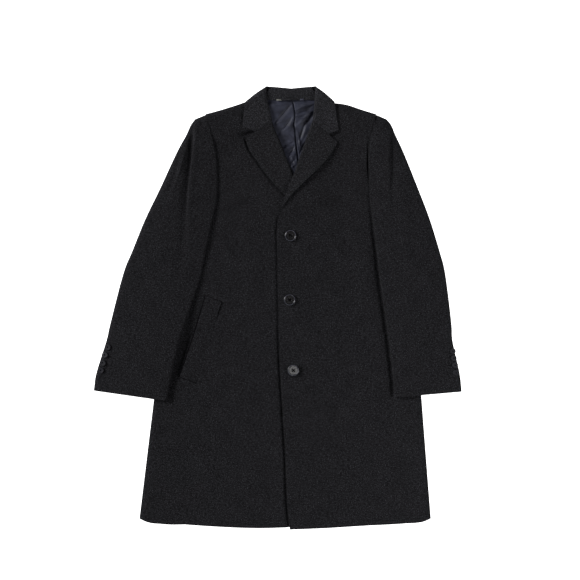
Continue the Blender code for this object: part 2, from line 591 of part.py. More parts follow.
def build_button(name, place, normal, diameter, thick, sides, tilt=0.0):
    radius = diameter / 2
    angles = np.linspace(0, 2 * math.pi, sides, endpoint=False)
    circle = np.stack([np.cos(angles), np.sin(angles)], -1)
    verts = np.concatenate([np.column_stack([circle * radius * r.radius, np.full(sides, r.height * thick)])
                            for r in BUTTON_RINGS])
    count = len(BUTTON_RINGS)
    faces = [[r * sides + i, r * sides + (i + 1) % sides, (r + 1) * sides + (i + 1) % sides,
              (r + 1) * sides + i] for r in range(count - 1) for i in range(sides)]
    faces += [list(range(sides))[::-1], [(count - 1) * sides + i for i in range(sides)]]
    button = make_object(name, verts, faces, HORN)
    holes = []
    for quarter_turn in range(4):
        angle = math.pi / 4 + quarter_turn * math.pi / 2
        holes.append((radius * HOLE_SPREAD * math.cos(angle), radius * HOLE_SPREAD * math.sin(angle)))
    cut = bmesh.new()
    for x, y in holes:
        bmesh.ops.create_cone(cut, cap_ends=True, segments=6, radius1=radius * HOLE_SIZE * MM,
                              radius2=radius * HOLE_SIZE * MM, depth=4 * thick * MM,
                              matrix=Matrix.Translation((x * MM, y * MM, 0)))
    mesh = bpy.data.meshes.new(name + "_holes")
    cut.to_mesh(mesh)
    cut.free()
    cutter = bpy.data.objects.new(name + "_holes", mesh)
    cutter.hide_render, cutter.display_type = True, "WIRE"
    bpy.context.scene.collection.objects.link(cutter)
    drill = button.modifiers.new("holes", "BOOLEAN")
    drill.operation, drill.object, drill.solver = "DIFFERENCE", cutter, "EXACT"
    turn = Vector((0, 0, 1)).rotation_difference(Vector(normal)).to_matrix().to_4x4()
    seat = (Matrix.Translation(Vector(place) * MM) @ Matrix.Rotation(math.radians(tilt), 4, "Y") @ turn)
    button.matrix_world = seat
    cutter.matrix_world = seat


def surface_normal(height, x, y, step=3.0):
    around = np.array([[x - step, y], [x + step, y], [x, y - step], [x, y + step]])
    z = height(around)
    normal = np.array([(z[0] - z[1]) / (2 * step), (z[2] - z[3]) / (2 * step), 1.0])
    return normal / np.linalg.norm(normal)


def build_buttons():
    for number, spot in enumerate(FRONT_BUTTONS, 1):
        normal = surface_normal(top_front_height, spot.x, spot.y, FRONT_BUTTON / 3)
        base = np.array([spot.x, spot.y, top_front_height(np.array([[spot.x, spot.y]]))[0]])
        last = number == len(FRONT_BUTTONS)
        tilt = -LAST_BUTTON_TILT if last else 0.0
        raise_by = SEAM + LAP + (math.sin(math.radians(abs(tilt))) * FRONT_BUTTON * 0.31)
        build_button(f"front_button_{number}", base + normal * raise_by, normal,
                     FRONT_BUTTON, FRONT_BUTTON_THICK, 24, tilt)
    for name, rows, side, spots in (("right", SLEEVE_RIGHT, 1, CUFF_BUTTONS_RIGHT),
                                    ("left", SLEEVE_LEFT, -1, CUFF_BUTTONS_LEFT)):
        k = np.linspace(0, 4, 81)
        ring = sleeve_ring(rows, side, k, roll_steps=12, top_steps=60)
        normals = grid_normals(ring) * side
        for number, spot in enumerate(spots, 1):
            upward = normals[..., 2] > 0.2
            gap = np.where(upward, np.hypot(ring[..., 0] - spot.x, ring[..., 1] - spot.y), 1e9)
            place = np.unravel_index(np.argmin(gap), gap.shape)
            normal = normals[place]
            build_button(f"cuff_button_{name}_{number}", ring[place] + normal * SEAM, normal,
                         CUFF_BUTTON, CUFF_BUTTON_THICK, 16)


for old in list(bpy.data.objects):
    bpy.data.objects.remove(old, do_unlink=True)
bpy.context.scene.collection.children.link(collection)
build_body()
build_lapels()
build_sleeve("right", SLEEVE_RIGHT, 1)
build_sleeve("left", SLEEVE_LEFT, -1)
build_collar()
build_neck()
build_welt()
build_buttons()
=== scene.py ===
# %% [markdown]
# A wool car coat, laid flat on its back.
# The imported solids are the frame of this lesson. Each panel of cloth is drawn again here
# from the same cutter's lines, on a finer grid, so that it can carry creases, a soft edge
# and a woven finish. Subdividing the solids would be shorter, but it would round off the
# seams and leave nothing for the weave to follow.

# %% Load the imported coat
import math
from collections import namedtuple

import bpy
import numpy as np
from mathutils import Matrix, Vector


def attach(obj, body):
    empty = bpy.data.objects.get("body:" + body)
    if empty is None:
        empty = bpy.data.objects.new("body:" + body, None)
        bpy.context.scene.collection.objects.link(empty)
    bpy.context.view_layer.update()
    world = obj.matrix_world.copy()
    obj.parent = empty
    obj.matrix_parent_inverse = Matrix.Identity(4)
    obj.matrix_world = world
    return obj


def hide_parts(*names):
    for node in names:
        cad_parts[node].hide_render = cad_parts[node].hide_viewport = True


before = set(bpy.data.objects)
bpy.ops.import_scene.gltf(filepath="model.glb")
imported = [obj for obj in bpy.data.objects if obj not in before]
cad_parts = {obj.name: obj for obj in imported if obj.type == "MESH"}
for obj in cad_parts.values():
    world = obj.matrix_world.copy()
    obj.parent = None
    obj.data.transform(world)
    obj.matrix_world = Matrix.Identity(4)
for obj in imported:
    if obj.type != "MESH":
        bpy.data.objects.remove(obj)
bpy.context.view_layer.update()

MM = 0.001

# %% [markdown]
# The cutter's lines.
# A tailor draws seams, edges and roll lines before cutting. The same lines, in millimetres
# on the table, give every panel its plan: +Y runs from the hem to the collar and +X to the
# wearer's left. Thicknesses are those of the real cloths.

# %% Cloths and seams
CLOTH, SLEEVE_CLOTH, FACED, STAND_CLOTH, LINING, WELT_CLOTH = 1.9, 1.7, 2.4, 2.0, 1.0, 1.6
SEAM, LAP = 0.3, 0.5
SIDE_ROLL, BACK_ROLL = 14.0, 8.0
FRONT_STEP, LAP_RISE, SETBACK, COLLAR_LIFT = CLOTH + LAP, 4.3, 8.0, 3.0

Point = namedtuple("Point", "x y")
Level = namedtuple("Level", "y thick")
Pad = namedtuple("Pad", "x y rise reach")


def points(*pairs):
    """Pairs of numbers as points of the plan."""
    return [Point(x, y) for x, y in pairs]


BODY_LEVELS = [Level(-520, 10), Level(-200, 11), Level(100, 12.5), Level(300, 15),
               Level(430, 15), Level(480, 13)]
PADS = [Pad(-165, 395, 4.0, 55), Pad(232, 395, 4.0, 55)]

# %% Lines of the body
SIDE_RIGHT = points((-318, -484), (-285, -212), (-257, 18), (-233, 205))
SIDE_LEFT = points((352, -484), (331, -212), (314, 18), (300, 205))
ARMHOLE_RIGHT = points((-192, 222), (-160, 252), (-145, 296), (-143, 340), (-145.5, 376),
                       (-153.5, 410), (-165.5, 443))
ARMHOLE_LEFT = points((264, 222), (233, 251), (215, 296), (211, 340), (211.5, 376),
                      (216.5, 410), (226, 443))
BACK_ARMHOLE_RIGHT = points((-200, 226), (-182, 253), (-174, 295), (-172, 341), (-171, 387),
                            (-168, 420), (-165.5, 443))
BACK_ARMHOLE_LEFT = points((269, 226), (251, 253), (242, 295), (240, 341), (238, 387),
                           (233, 420), (226, 443))
SHOULDER_RIGHT = points((-165.5, 443), (-132, 452.5), (-92, 465), (-72, 471.5), (-46, 473))
SHOULDER_LEFT = points((109, 470), (134, 468), (152, 466), (196, 452.5), (226, 443))
NECK = points((-46, 473), (-4, 473.5), (31, 473.5), (66, 473), (109, 470))
HEM_RIGHT = points((-318, -484), (-303, -491), (-234, -496), (-151, -502), (-41, -506), (56, -503))
HEM_LEFT = points((28, -509), (125, -505), (208, -500), (290, -495.5), (338, -490), (352, -484))
BACK_HEM = points((-318, -484), (-303, -490), (-150, -497), (30, -498), (290, -492), (338, -489),
                  (352, -484))
EDGE_RIGHT = points((56, -503), (57, -200), (57, 60), (56, 200))
EDGE_LEFT = points((28, -509), (23, -460), (18, -340), (10, -209), (4.5, -110), (2, 18), (0, 120),
                   (2, 202))
ROLL_RIGHT = points((50, 250), (36, 304), (17, 352), (4, 386), (-8, 412), (-13, 430), (-16, 455))
ROLL_LEFT = points((11, 239), (24, 275), (37, 306), (50, 345), (61, 376), (72, 408), (80, 430),
                   (82.5, 455))
print("length of the back, mm:", round(NECK[2].y - BACK_HEM[3].y, 1))

# %% Lines of the lapels, collar and neck
LAPEL_EDGE_RIGHT = points((-72, 385), (-64, 363), (-44, 333), (-20, 299), (16, 262), (32, 252))
LAPEL_EDGE_LEFT = points((136.7, 379), (127, 362), (113, 340.5), (79, 306), (49, 277), (22.4, 248),
                         (11, 231))
NOTCH_RIGHT, NOTCH_LEFT = Point(-52, 403), Point(117, 398)
GORGE_RIGHT, GORGE_LEFT = Point(-13, 430), Point(80, 430)
COLLAR_FOLD_RIGHT = points((-26, 509), (-25, 482), (-18, 456), (-13, 430))
COLLAR_FOLD_LEFT = points((87, 509), (85, 482), (83, 456), (80, 430))
COLLAR_TOP_RIGHT, COLLAR_TOP_LEFT = Point(-74, 474), Point(130, 474)
COLLAR_TIP_RIGHT, COLLAR_TIP_LEFT = Point(-80, 418), Point(139.7, 406.5)
COLLAR_BACK, FALL_DEPTH = Point(30.5, 504.5), 48.0
STAND_FOOT, STAND_HEIGHT = 477.0, 8.8
LiningRow = namedtuple("LiningRow", "y right left pleat")
LINING_ROWS = [LiningRow(296, 28, 46, 44), LiningRow(340, 12, 58, 45), LiningRow(380, -6, 72, 40),
               LiningRow(419, -20, 86, 37), LiningRow(448, -28, 92, 36), LiningRow(481, -36, 97, 33)]
PLEAT = 2.2
WELT = points((-165, 27), (-129, 13), (-188, -172), (-224, -158))
WELT_BOW, WELT_GAPE = 2.0, 0.7
LOOP_ENDS = points((3, 478), (58, 479))
LOOP_WIDTH, LOOP_RISE = 4.0, 2.5
print("neck, mm:", COLLAR_FOLD_LEFT[0].x - COLLAR_FOLD_RIGHT[0].x, "x", NECK[0].y - LINING_ROWS[0].y)

# %% Sections of the sleeves
# Both edges of a section, then the seam's distance beneath it, the height at the outer edge,
# the radius at the inner edge, the crown, and the long fold with its place across
Section = namedtuple("Section", "out_x out_y in_x in_y seam loft turn crown fold fold_at")
SLEEVE_RIGHT = [
    Section(-423, -190, -254, -213, 12, 12.0, 4.6, 2.0, 0.0, 0.60),
    Section(-417, -150, -247, -171, 12, 12.5, 4.8, 3.0, 0.0, 0.60),
    Section(-394, -76, -230, -97, 12, 13.5, 5.2, 4.0, 0.0, 0.62),
    Section(-384, -33, -218, -51, 12, 14.0, 4.8, 4.5, 0.0, 0.64),
    Section(-355, 78, -181, 57, 12, 16.0, 2.2, 4.5, 0.5, 0.68),
    Section(-333, 133, -168.5, 114, 12, 17.0, 2.4, 4.5, 1.8, 0.68),
    Section(-304, 204, -152, 190, 56, 18.5, 2.6, 4.5, 3.4, 0.59),
    Section(-271, 272, -140, 252, 80, 19.5, 1.8, 4.5, 5.0, 0.47),
    Section(-233, 354, -139, 322, 60, 20.0, 1.5, 4.0, 6.5, 0.35),
    Section(-211, 395, -146.2, 376, 38, 19.5, 1.5, 3.0, 5.0, 0.22),
    Section(-200, 419, -155, 412, 28, 18.0, 2.8, 1.5, 2.0, 0.10),
    Section(-190, 433, -165.8, 442.9, 20, 16.0, 2.8, 0.0, 0.0, 0.10),
]
SLEEVE_LEFT = [
    Section(423, -192.5, 267, -205, 12, 12.0, 4.6, 2.0, 0.0, 0.60),
    Section(418, -150, 264.5, -162, 12, 12.5, 4.8, 3.0, 0.0, 0.60),
    Section(402, -76.5, 256, -88, 12, 13.5, 5.2, 4.0, 0.0, 0.62),
    Section(399, -33, 250, -42, 12, 14.0, 5.5, 4.5, 0.0, 0.64),
    Section(385, 78, 234, 68, 12, 16.0, 5.5, 4.5, 0.0, 0.64),
    Section(371, 133, 228, 124, 12, 17.0, 5.2, 4.5, 0.5, 0.66),
    Section(349, 204, 218.5, 195, 43, 18.5, 3.0, 4.5, 0.0, 0.60),
    Section(323, 272, 211, 252, 66, 19.5, 1.8, 4.5, 1.8, 0.52),
    Section(290, 354, 208, 325, 48, 20.0, 1.6, 4.0, 3.8, 0.34),
    Section(271, 395, 212, 380, 30, 19.5, 1.8, 3.0, 3.2, 0.17),
    Section(261, 419, 218, 412, 24, 18.0, 2.8, 1.5, 2.0, 0.10),
    Section(250, 433, 226.3, 442.9, 19, 16.0, 2.8, 0.0, 0.0, 0.10),
]
UNDERARM_ROW, OUTER_ROLL, OUTER_ROLL_UNDER, INNER_ROLL, INNER_TURN = 5.5, 13.0, 6.0, 4.0, 10.0
CLIMB, SLEEVE_REST, CAP_FOOT, CAP_ROLL, CAP_SINK = 22.0, 1.0, 2.4, 3.2, 5.4
FOLD_STEEP, FOLD_GENTLE, FOLD_EASED, FOLD_DEPTH = 5.0, 12.0, 7.0, 1.2
FOLD_RIDGE, RIDGE_AT, RIDGE_WIDTH = 0.22, 9.0, 5.0
FOLD_LEAN, LEAN_AT, LEAN_WIDTH = 4.5, 8.0, 4.0
print("sleeve sections:", len(SLEEVE_RIGHT), len(SLEEVE_LEFT))

# %% [markdown]
# From lines to surfaces.
# A panel's plan is a Coons patch, which blends four edge lines. A smooth curve through a few
# points is enough for each edge, and a point that is given twice makes a corner, such as the
# underarm. Everything works on whole arrays.

# %% Curves and patches
def smooth(t):
    """0 before 0, 1 after 1, and 3 t^2 - 2 t^3 between."""
    t = np.clip(t, 0, 1)
    return t * t * (3 - 2 * t)


def quarter(d, width):
    """Rise of a quarter circle: 0 at the edge, 1 from its width on."""
    return np.sqrt(np.clip(1 - (1 - np.clip(d / width, 0, 1)) ** 2, 0, 1))


def hermite(rows, knots, t):
    """Cubic pieces through the rows, with slopes taken from their neighbours."""
    rows, t = np.array(rows, float), np.asarray(t, float)
    slope = np.gradient(rows, knots, axis=0)
    k = np.clip(np.searchsorted(knots, t, side="right") - 1, 0, len(knots) - 2)
    step = knots[k + 1] - knots[k]
    f = ((t - knots[k]) / step)[..., None]
    step = step[..., None]
    return (rows[k] * (1 + 2 * f) * (1 - f) ** 2 + rows[k + 1] * f * f * (3 - 2 * f)
            + step * (slope[k] * f * (1 - f) ** 2 - slope[k + 1] * f * f * (1 - f)))


def line(rows, t):
    """Points along a line through the rows, t from 0 to 1 by its length; a row given twice is a corner."""
    rows, t = np.array(rows, float), np.asarray(t, float)
    steps = np.linalg.norm(np.diff(rows, axis=0), axis=1)
    knots = np.concatenate(([0], np.cumsum(steps))) / steps.sum()
    ends = [0, *(np.flatnonzero(steps == 0) + 1), len(rows)]
    way = np.empty(t.shape + (2,))
    for first, last in zip(ends[:-1], ends[1:]):
        part = (t >= knots[first] - 1e-9) & (t <= knots[last - 1] + 1e-9)
        way[part] = hermite(rows[first:last], knots[first:last], t[part])
    return way


def corner_at(*rows):
    """Share of a line's length at its first corner."""
    steps = np.linalg.norm(np.diff(np.array(rows, float), axis=0), axis=1)
    return np.cumsum(steps)[np.flatnonzero(steps == 0)[0]] / steps.sum()


def patch(bottom, top, left, right, u, v):
    """Coons patch: both pairs of edges blended, less the corners that were counted twice."""
    u, v = np.meshgrid(u, v)
    b, t, l, r = line(bottom, u), line(top, u), line(left, v), line(right, v)
    u, v = u[..., None], v[..., None]
    corner = np.array([bottom[0], bottom[-1], top[0], top[-1]], float)
    return ((1 - v) * b + v * t + (1 - u) * l + u * r
            - (1 - u) * ((1 - v) * corner[0] + v * corner[2])
            - u * ((1 - v) * corner[1] + v * corner[3]))


def distance(plan, rows, pieces=56):
    """Shortest distance of plan points from a line, cut into straight pieces."""
    way = line(rows, np.linspace(0, 1, pieces + 1))
    a, b = way[:-1], way[1:]
    flat = plan.reshape(-1, 1, 2)
    along = np.clip(((flat - a) * (b - a)).sum(-1) / ((b - a) ** 2).sum(-1), 0, 1)
    near = a + along[..., None] * (b - a)
    return np.linalg.norm(flat - near, axis=-1).min(1).reshape(plan.shape[:-1])


def shifted(rows, dx):
    """The same points, moved across by dx."""
    return [Point(p.x + dx, p.y) for p in rows]


def raised(plan, height):
    """Plan points with their heights as the third coordinate."""
    return np.concatenate([plan, np.broadcast_to(height, plan.shape[:-1])[..., None]], -1)


# %% [markdown]
# How high the cloth lies.
# The coat is a flattened tube: the back lies on the table, and the fronts roll up from the
# side and shoulder seams to the thickness of the cloth and what is inside it. The top front
# lies over the other one and over the foot of its lapel.

# %% Heights of the body
UNDERARM_FROM, UNDERARM_TO = 120, 330      # between these the fronts don't roll down to a seam


def rim_distance(plan):
    """Distance from the nearest side or shoulder seam."""
    seams = (SIDE_RIGHT, SIDE_LEFT, SHOULDER_RIGHT, SHOULDER_LEFT)
    d = np.min([distance(plan, seam) for seam in seams], axis=0)
    return np.where(d < SEAM, 0, d)


def rim_rise(plan, width, rim):
    """0 at the side and shoulder seams, 1 away from them and at the underarm."""
    up = plan[..., 1]
    underarm = smooth((up - UNDERARM_FROM) / 70) * (1 - smooth((up - UNDERARM_TO) / 50))
    return 1 - (1 - underarm) * (1 - quarter(rim, width))


def thickness(plan):
    """Levels from hem to collar, joined by straight lines, and a bell for each shoulder pad."""
    x, y = plan[..., 0], plan[..., 1]
    ys, thick = zip(*BODY_LEVELS)
    value = np.interp(y, ys, thick)
    for pad in PADS:
        value = value + pad.rise * np.exp(-((x - pad.x) ** 2 + (y - pad.y) ** 2) / pad.reach ** 2)
    return value


def back_height(plan, rim):
    """Underside of the back: on the table, lifted at the neck by the collar and at the seams."""
    x, y = plan[..., 0], plan[..., 1]
    lift = COLLAR_LIFT * smooth((y - 425) / 25) * smooth((x + 112) / 25) * smooth((168 - x) / 25)
    edge = rim_rise(plan, BACK_ROLL, rim)
    return (thickness(plan) / 2 - SEAM / 2) * (1 - edge) + lift * edge


def inside_body(plan, side):
    """How far in from the side line plan points lie, less than 0 outside."""
    way = line(SIDE_RIGHT if side > 0 else SIDE_LEFT, np.linspace(0, 1, 40))
    way = np.vstack([way, way[-1] + (way[-1] - way[-2]) * 12])
    return side * (plan[..., 0] - np.interp(plan[..., 1], way[:, 1], way[:, 0]))


def sleeve_rest(plan, side):
    """Underside of a sleeve: on the table, then up and over the body."""
    depth = inside_body(plan, side)
    return (thickness(plan) + SLEEVE_REST) * smooth((depth + CLIMB) / (CLIMB + 2))


# %% [markdown]
# Creases.
# Heavy wool hardly creases: it shows a few shallow drag lines at the chest, the pocket and
# the elbows, and wide slow waves in the skirt. Each one is a row of a table: a soft ridge
# or trough along a slightly bowed line that fades to its ends. A cloth
# simulation would spread creases everywhere, and these have to lie where the coat has them.

# %% Creases of the fronts and sleeves
Crease = namedtuple("Crease", "x0 y0 x1 y1 rise width bow")
FRONT_CREASES = [
    Crease(-90, 231, -32, 241, -1.7, 4, 2), Crease(-96, 220, -40, 226, 0.5, 9, 3),
    Crease(-120, 300, -100, 250, -0.5, 10, 4), Crease(92, 176, 168, 170, -0.6, 5, -3),
    Crease(66, 160, 120, 148, -0.5, 5, 2), Crease(96, 214, 150, 236, 0.5, 11, 3),
    Crease(-216, -202, -140, -219, -1.1, 6, -4), Crease(-196, -186, -120, -197, 0.7, 9, -3),
    Crease(-228, -214, -172, -240, -0.7, 8, 3), Crease(-60, 20, -120, -30, -0.4, 12, 6),
    Crease(-205, -485, -186, -290, -1.1, 24, 8), Crease(-96, -498, -84, -330, 0.8, 22, -6),
    Crease(150, -498, 158, -310, -1.0, 22, 7), Crease(252, -490, 238, -300, 0.9, 20, -8),
    Crease(-20, -500, -10, -380, -0.6, 16, 4), Crease(96, -330, 200, -350, -0.4, 14, 5),
    Crease(-240, -330, -140, -352, -0.45, 13, -6), Crease(180, 60, 232, 20, -0.5, 12, 4),
    Crease(206, -120, 240, -230, 0.6, 16, 5),
]
# Behind the mouth of the pocket and its ends, under the notches, and beside the collar
HOLLOWS = [
    Crease(-164, 32, -226, -172, -1.2, 3, -1), Crease(-196, 4, -256, -206, -3.4, 9, 0),
    Crease(-187, -14, -236, -176, -3.6, 6, 0),
    Crease(-168, 31, -119, 12, -1.6, 3, 0),
    Crease(-126, 20, -148, -44, -0.8, 3, 0), Crease(-232, -153, -178, -177, -2.6, 3, 1),
    Crease(-92, 394, -36, 406, -8.0, 6, 0), Crease(106, 391, 150, 405, -3.8, 4, 0),
    Crease(-75, 500, -83, 398, -1.5, 4, 0),
]
SLEEVE_CREASES = [
    Crease(-352, 66, -262, 92, -0.9, 7, 5), Crease(-344, 30, -268, 44, -0.7, 8, -4),
    Crease(-320, 110, -246, 134, 0.7, 9, 4), Crease(-396, -60, -330, -40, -0.6, 9, 4),
    Crease(-170, 384, -158, 368, -1.2, 6, 0), Crease(-262, 140, -214, 66, -0.8, 9, 5),
    Crease(-352, -110, -290, -150, 0.5, 12, 3), Crease(-200, 408, -247, 243, 2.0, 4, 2),
    Crease(-208, 404, -258, 240, -1.4, 5, 2),
    Crease(292, 78, 372, 104, -0.8, 7, -5), Crease(286, 40, 352, 56, -0.6, 8, 4),
    Crease(268, 118, 340, 142, 0.6, 9, -4), Crease(330, -60, 396, -44, -0.5, 9, -4),
    Crease(216, 321, 246, 356, -1.6, 6, 2), Crease(258, 300, 246, 236, -0.8, 9, 4),
    Crease(300, -100, 352, -150, 0.5, 12, -3),
]
BACK_CREASES = [
    Crease(-210, -470, -190, -260, 0.9, 22, 8), Crease(60, -480, 52, -280, 0.8, 24, -6),
    Crease(230, -470, 216, -250, 0.9, 20, 7), Crease(-140, 200, -30, 214, 0.7, 7, 5),
    Crease(80, 236, 190, 216, 0.7, 8, -4), Crease(-60, -40, 40, -52, 0.5, 9, 4),
]
print("creases:", len(FRONT_CREASES), len(HOLLOWS), len(SLEEVE_CREASES), len(BACK_CREASES))


def creased(plan, rows):
    """Sum over the rows of rise x bell across the bowed line x fading along it."""
    total = np.zeros(plan.shape[:-1])
    for row in rows:
        way = np.array([row.x1 - row.x0, row.y1 - row.y0], float)
        length = np.hypot(*way)
        way /= length
        offset = plan - (row.x0, row.y0)
        along = np.clip(offset @ way / length, -0.5, 1.5)
        aside = offset[..., 1] * way[0] - offset[..., 0] * way[1] - 4 * row.bow * along * (1 - along)
        fade = np.clip(4 * along * (1 - along), 0, 1)
        total += row.rise * fade * np.exp(-(aside / row.width) ** 2)
    return total


def unevenness(plan):
    """Slow waves of a cloth that was smoothed by hand: three products of sines, under half a millimetre."""
    x, y = plan[..., 0], plan[..., 1]
    return (0.20 * np.sin(x / 31 + 0.7) * np.sin(y / 47 + 1.9) + 0.14 * np.sin(x / 17 + y / 29)
            + 0.12 * np.sin(y / 13 - x / 41 + 0.4))


def front_height(plan, hollows=False):
    """Top of the fronts where neither laps the other: half the thickness at a seam, all of it inside.
    The hollows behind the welt and the notches are left out for what lies on the fronts."""
    rim = rim_distance(plan)
    full = thickness(plan)
    inside = smooth(rim / 30)
    relief = (creased(plan, FRONT_CREASES) + unevenness(plan)) * inside
    if hollows:
        relief = relief + creased(plan, HOLLOWS) * inside
    return full / 2 + SEAM / 2 + (full / 2 - SEAM / 2) * rim_rise(plan, SIDE_ROLL, rim) + relief


def trough(plan, rows, depth, width):
    """Where a panel's edge lies on a front, the front sinks beside it: a bell across the edge's line."""
    return -depth * np.exp(-(distance(plan, rows) / width) ** 2)


def beside_edge(plan):
    """Troughs in the right front: along the edge of the left one, deeper in the skirt, and by its lapel."""
    y = plan[..., 1]
    depth = (2.2 + 1.4 * smooth((-20 - y) / 120)) * smooth((240 - y) / 20)
    return (trough(plan, shifted(EDGE_LEFT, -1.0), depth, 4.5)
            + trough(plan, shifted(LAPEL_EDGE_RIGHT, -1.5), 2.8, 3.6))


def top_front_height(plan, hollows=False):
    """Top of the left front: a step up where it laps, and a rise over the other lapel."""
    x, y = plan[..., 0], plan[..., 1]
    lap = FRONT_STEP * (1 - smooth((x - 62) / 120))
    over_lapel = (1 - smooth((x - 58) / 80)) * smooth((y - 178) / 72) * (1 - smooth((y - 325) / 60))
    return front_height(plan, hollows) + (lap + LAP_RISE * over_lapel) * smooth(rim_distance(plan) / 40)


# %% [markdown]
# Colours and nodes.
# Colours are written as sRGB hex values, as they would be read off a swatch, and turned to
# the linear values that Blender works in. One small function adds a node, sets it and links it.

# %% Colour and node helpers
def linear(swatch):
    """sRGB to linear: c / 12.92 up to 0.04045, else ((c + 0.055) / 1.055) to the power 2.4."""
    c = np.array([int(swatch[i:i + 2], 16) for i in (1, 3, 5)]) / 255
    return (*np.where(c <= 0.04045, c / 12.92, ((c + 0.055) / 1.055) ** 2.4).tolist(), 1.0)


def add(tree, kind, inputs=None, **settings):
    """A node with its settings; an input is a value, or another node's output to link."""
    node = tree.nodes.new("ShaderNode" + kind)
    for name, value in settings.items():
        setattr(node, name, value)
    for name, value in (inputs or {}).items():
        if isinstance(value, bpy.types.NodeSocket):
            tree.links.new(value, node.inputs[name])
        else:
            node.inputs[name].default_value = value
    return node


def ramp(tree, value, low, deep, high, pale):
    """Two swatches blended over a range of the value: the colour output of a Color Ramp."""
    node = add(tree, "ValToRGB", {"Fac": value})
    first, last = node.color_ramp.elements
    first.position, first.color = low, linear(deep)
    last.position, last.color = high, linear(pale)
    return node.outputs["Color"]


def finish(name, **fixed):
    """A new material and its Principled BSDF, with the values that are the same all over."""
    material = bpy.data.materials.new(name)
    material.use_nodes = True
    shader = material.node_tree.nodes["Principled BSDF"]
    for socket, value in fixed.items():
        shader.inputs[socket.replace("_", " ")].default_value = value
    return material, material.node_tree, shader


# %% [markdown]
# The wool.
# Coating wool is woven as a twill, then milled and raised until the weave nearly goes under a
# short nap. Black and grey fibres are mixed before spinning, so each yarn is a heather of
# slightly different greys. It is matt, with a faint sheen at a slant where the nap catches the
# light. The yarns are 0.8 mm apart; they are drawn at 2.4 mm so that they show from a step away.

# %% Coating wool
YARN, HEATHER, FIBRE, MOTTLE = 0.0024, 0.0034, 0.0013, 1 / 26      # metres; the mottle is 38 mm across
WAVE = 0.314      # a Wave Texture repeats every 0.314 m at scale 1


def coating_wool(name, deep, middle, pale):
    """Matt wool: three swatches by two noises, times slow mottling, twill ribs and paler edges, partly worn
    nap and partly a painted highlight.
    """
    material, tree, shader = finish(
        name, Roughness=0.92, Specular_IOR_Level=0.0, IOR=1.54, Sheen_Weight=0.05,
        Sheen_Roughness=0.45, Sheen_Tint=linear("#8b8b90"))
    place = add(tree, "TexCoord").outputs["UV"]
    # Heather and single fibres: longer along the weft than they are high
    weft = add(tree, "Mapping", {"Vector": place, "Scale": (0.55, 1.0, 1.0)}).outputs["Vector"]
    heather = add(tree, "TexNoise", {"Vector": weft, "Scale": 1 / HEATHER, "Detail": 2.0,
                                     "Roughness": 0.75}).outputs["Fac"]
    hairs = add(tree, "TexNoise", {"Vector": weft, "Scale": 1 / FIBRE, "Detail": 1.0}).outputs["Fac"]
    mottle = add(tree, "TexNoise", {"Vector": place, "Scale": 1 / MOTTLE, "Detail": 2.0}).outputs["Fac"]
    # Twill: diagonal ribs
    slant = add(tree, "Mapping", {"Vector": place,
                                  "Rotation": (0, 0, math.radians(27))}).outputs["Vector"]
    twill = add(tree, "TexWave", {"Vector": slant, "Scale": WAVE / YARN, "Distortion": 2.2,
                                  "Detail": 2.0, "Detail Scale": 1.6}, bands_direction="Y").outputs["Fac"]
    tone = ramp(tree, heather, 0.36, deep, 0.64, middle)
    spark = add(tree, "MapRange", {"Value": hairs, "From Min": 0.58, "From Max": 0.74, "To Max": 0.85})
    speckled = add(tree, "Mix", {0: spark.outputs["Result"], 6: tone, 7: linear(pale)},
                   data_type="RGBA").outputs[2]
    shade = add(tree, "MapRange", {"Value": mottle, "From Min": 0.3, "From Max": 0.7, "To Min": 0.90,
                                   "To Max": 1.10}).outputs["Result"]
    ribs = add(tree, "MapRange", {"Value": twill, "To Min": 0.90, "To Max": 1.08}).outputs["Result"]
    both = add(tree, "Math", {0: shade, 1: ribs}, operation="MULTIPLY").outputs[0]
    # Up to 5% paler at a panel's edge: partly worn nap, partly a painted highlight along the edges
    near_edge = add(tree, "Attribute", attribute_name="rim").outputs["Fac"]
    wear_and_painted_light = add(tree, "MapRange", {"Value": near_edge, "To Min": 1.05, "To Max": 1.0}).outputs["Result"]
    strength = add(tree, "Math", {0: both, 1: wear_and_painted_light}, operation="MULTIPLY").outputs[0]
    final = add(tree, "VectorMath", {0: speckled, "Scale": strength}, operation="SCALE").outputs[0]
    tree.links.new(final, shader.inputs["Base Color"])
    relief = add(tree, "Math", {0: heather, 1: twill}, operation="ADD").outputs[0]
    rough = add(tree, "Math", {0: relief, 1: hairs}, operation="ADD").outputs[0]
    bump = add(tree, "Bump", {"Height": rough, "Strength": 0.55, "Distance": 0.0006})
    tree.links.new(bump.outputs["Normal"], shader.inputs["Normal"])
    return material


# The facing and collar wools are lighter copies of the body's: painted light, where the lapels and the
# collar look brighter in the light; the stand and the loop share the collar's
body_wool = coating_wool("coating_wool_body", "#111112", "#202022", "#47474c")
facing_wool_painted_lighter = coating_wool("coating_wool_facing_painted_lighter", "#131314", "#222224", "#4a4a4f")
sleeve_wool = coating_wool("coating_wool_sleeve", "#111112", "#202022", "#47474c")
collar_wool_painted_lighter = coating_wool("coating_wool_collar_painted_lighter", "#161617", "#27272a", "#55555a")
print("wool finishes:", [wool.name for wool in (body_wool, facing_wool_painted_lighter, sleeve_wool, collar_wool_painted_lighter)])

# %% [markdown]
# Satin, horn and thread.
# The lining is a viscose satin: long floats of yarn on its face give it a directional gloss.
# The buttons are of dark horn or a resin made like it, turned, with faint streaks. Those on
# the front are half polished, with a paler rim painted as a reflection, and those on the cuffs
# are matt, with a rim painted darker as shade. The sewing is twisted polyester thread.

# %% Satin lining
# In metres. Real floats are about 0.2 mm wide, and are drawn wider so that they show
SATIN_FLOAT, SATIN_CLOUD = 0.0012, 1 / 45


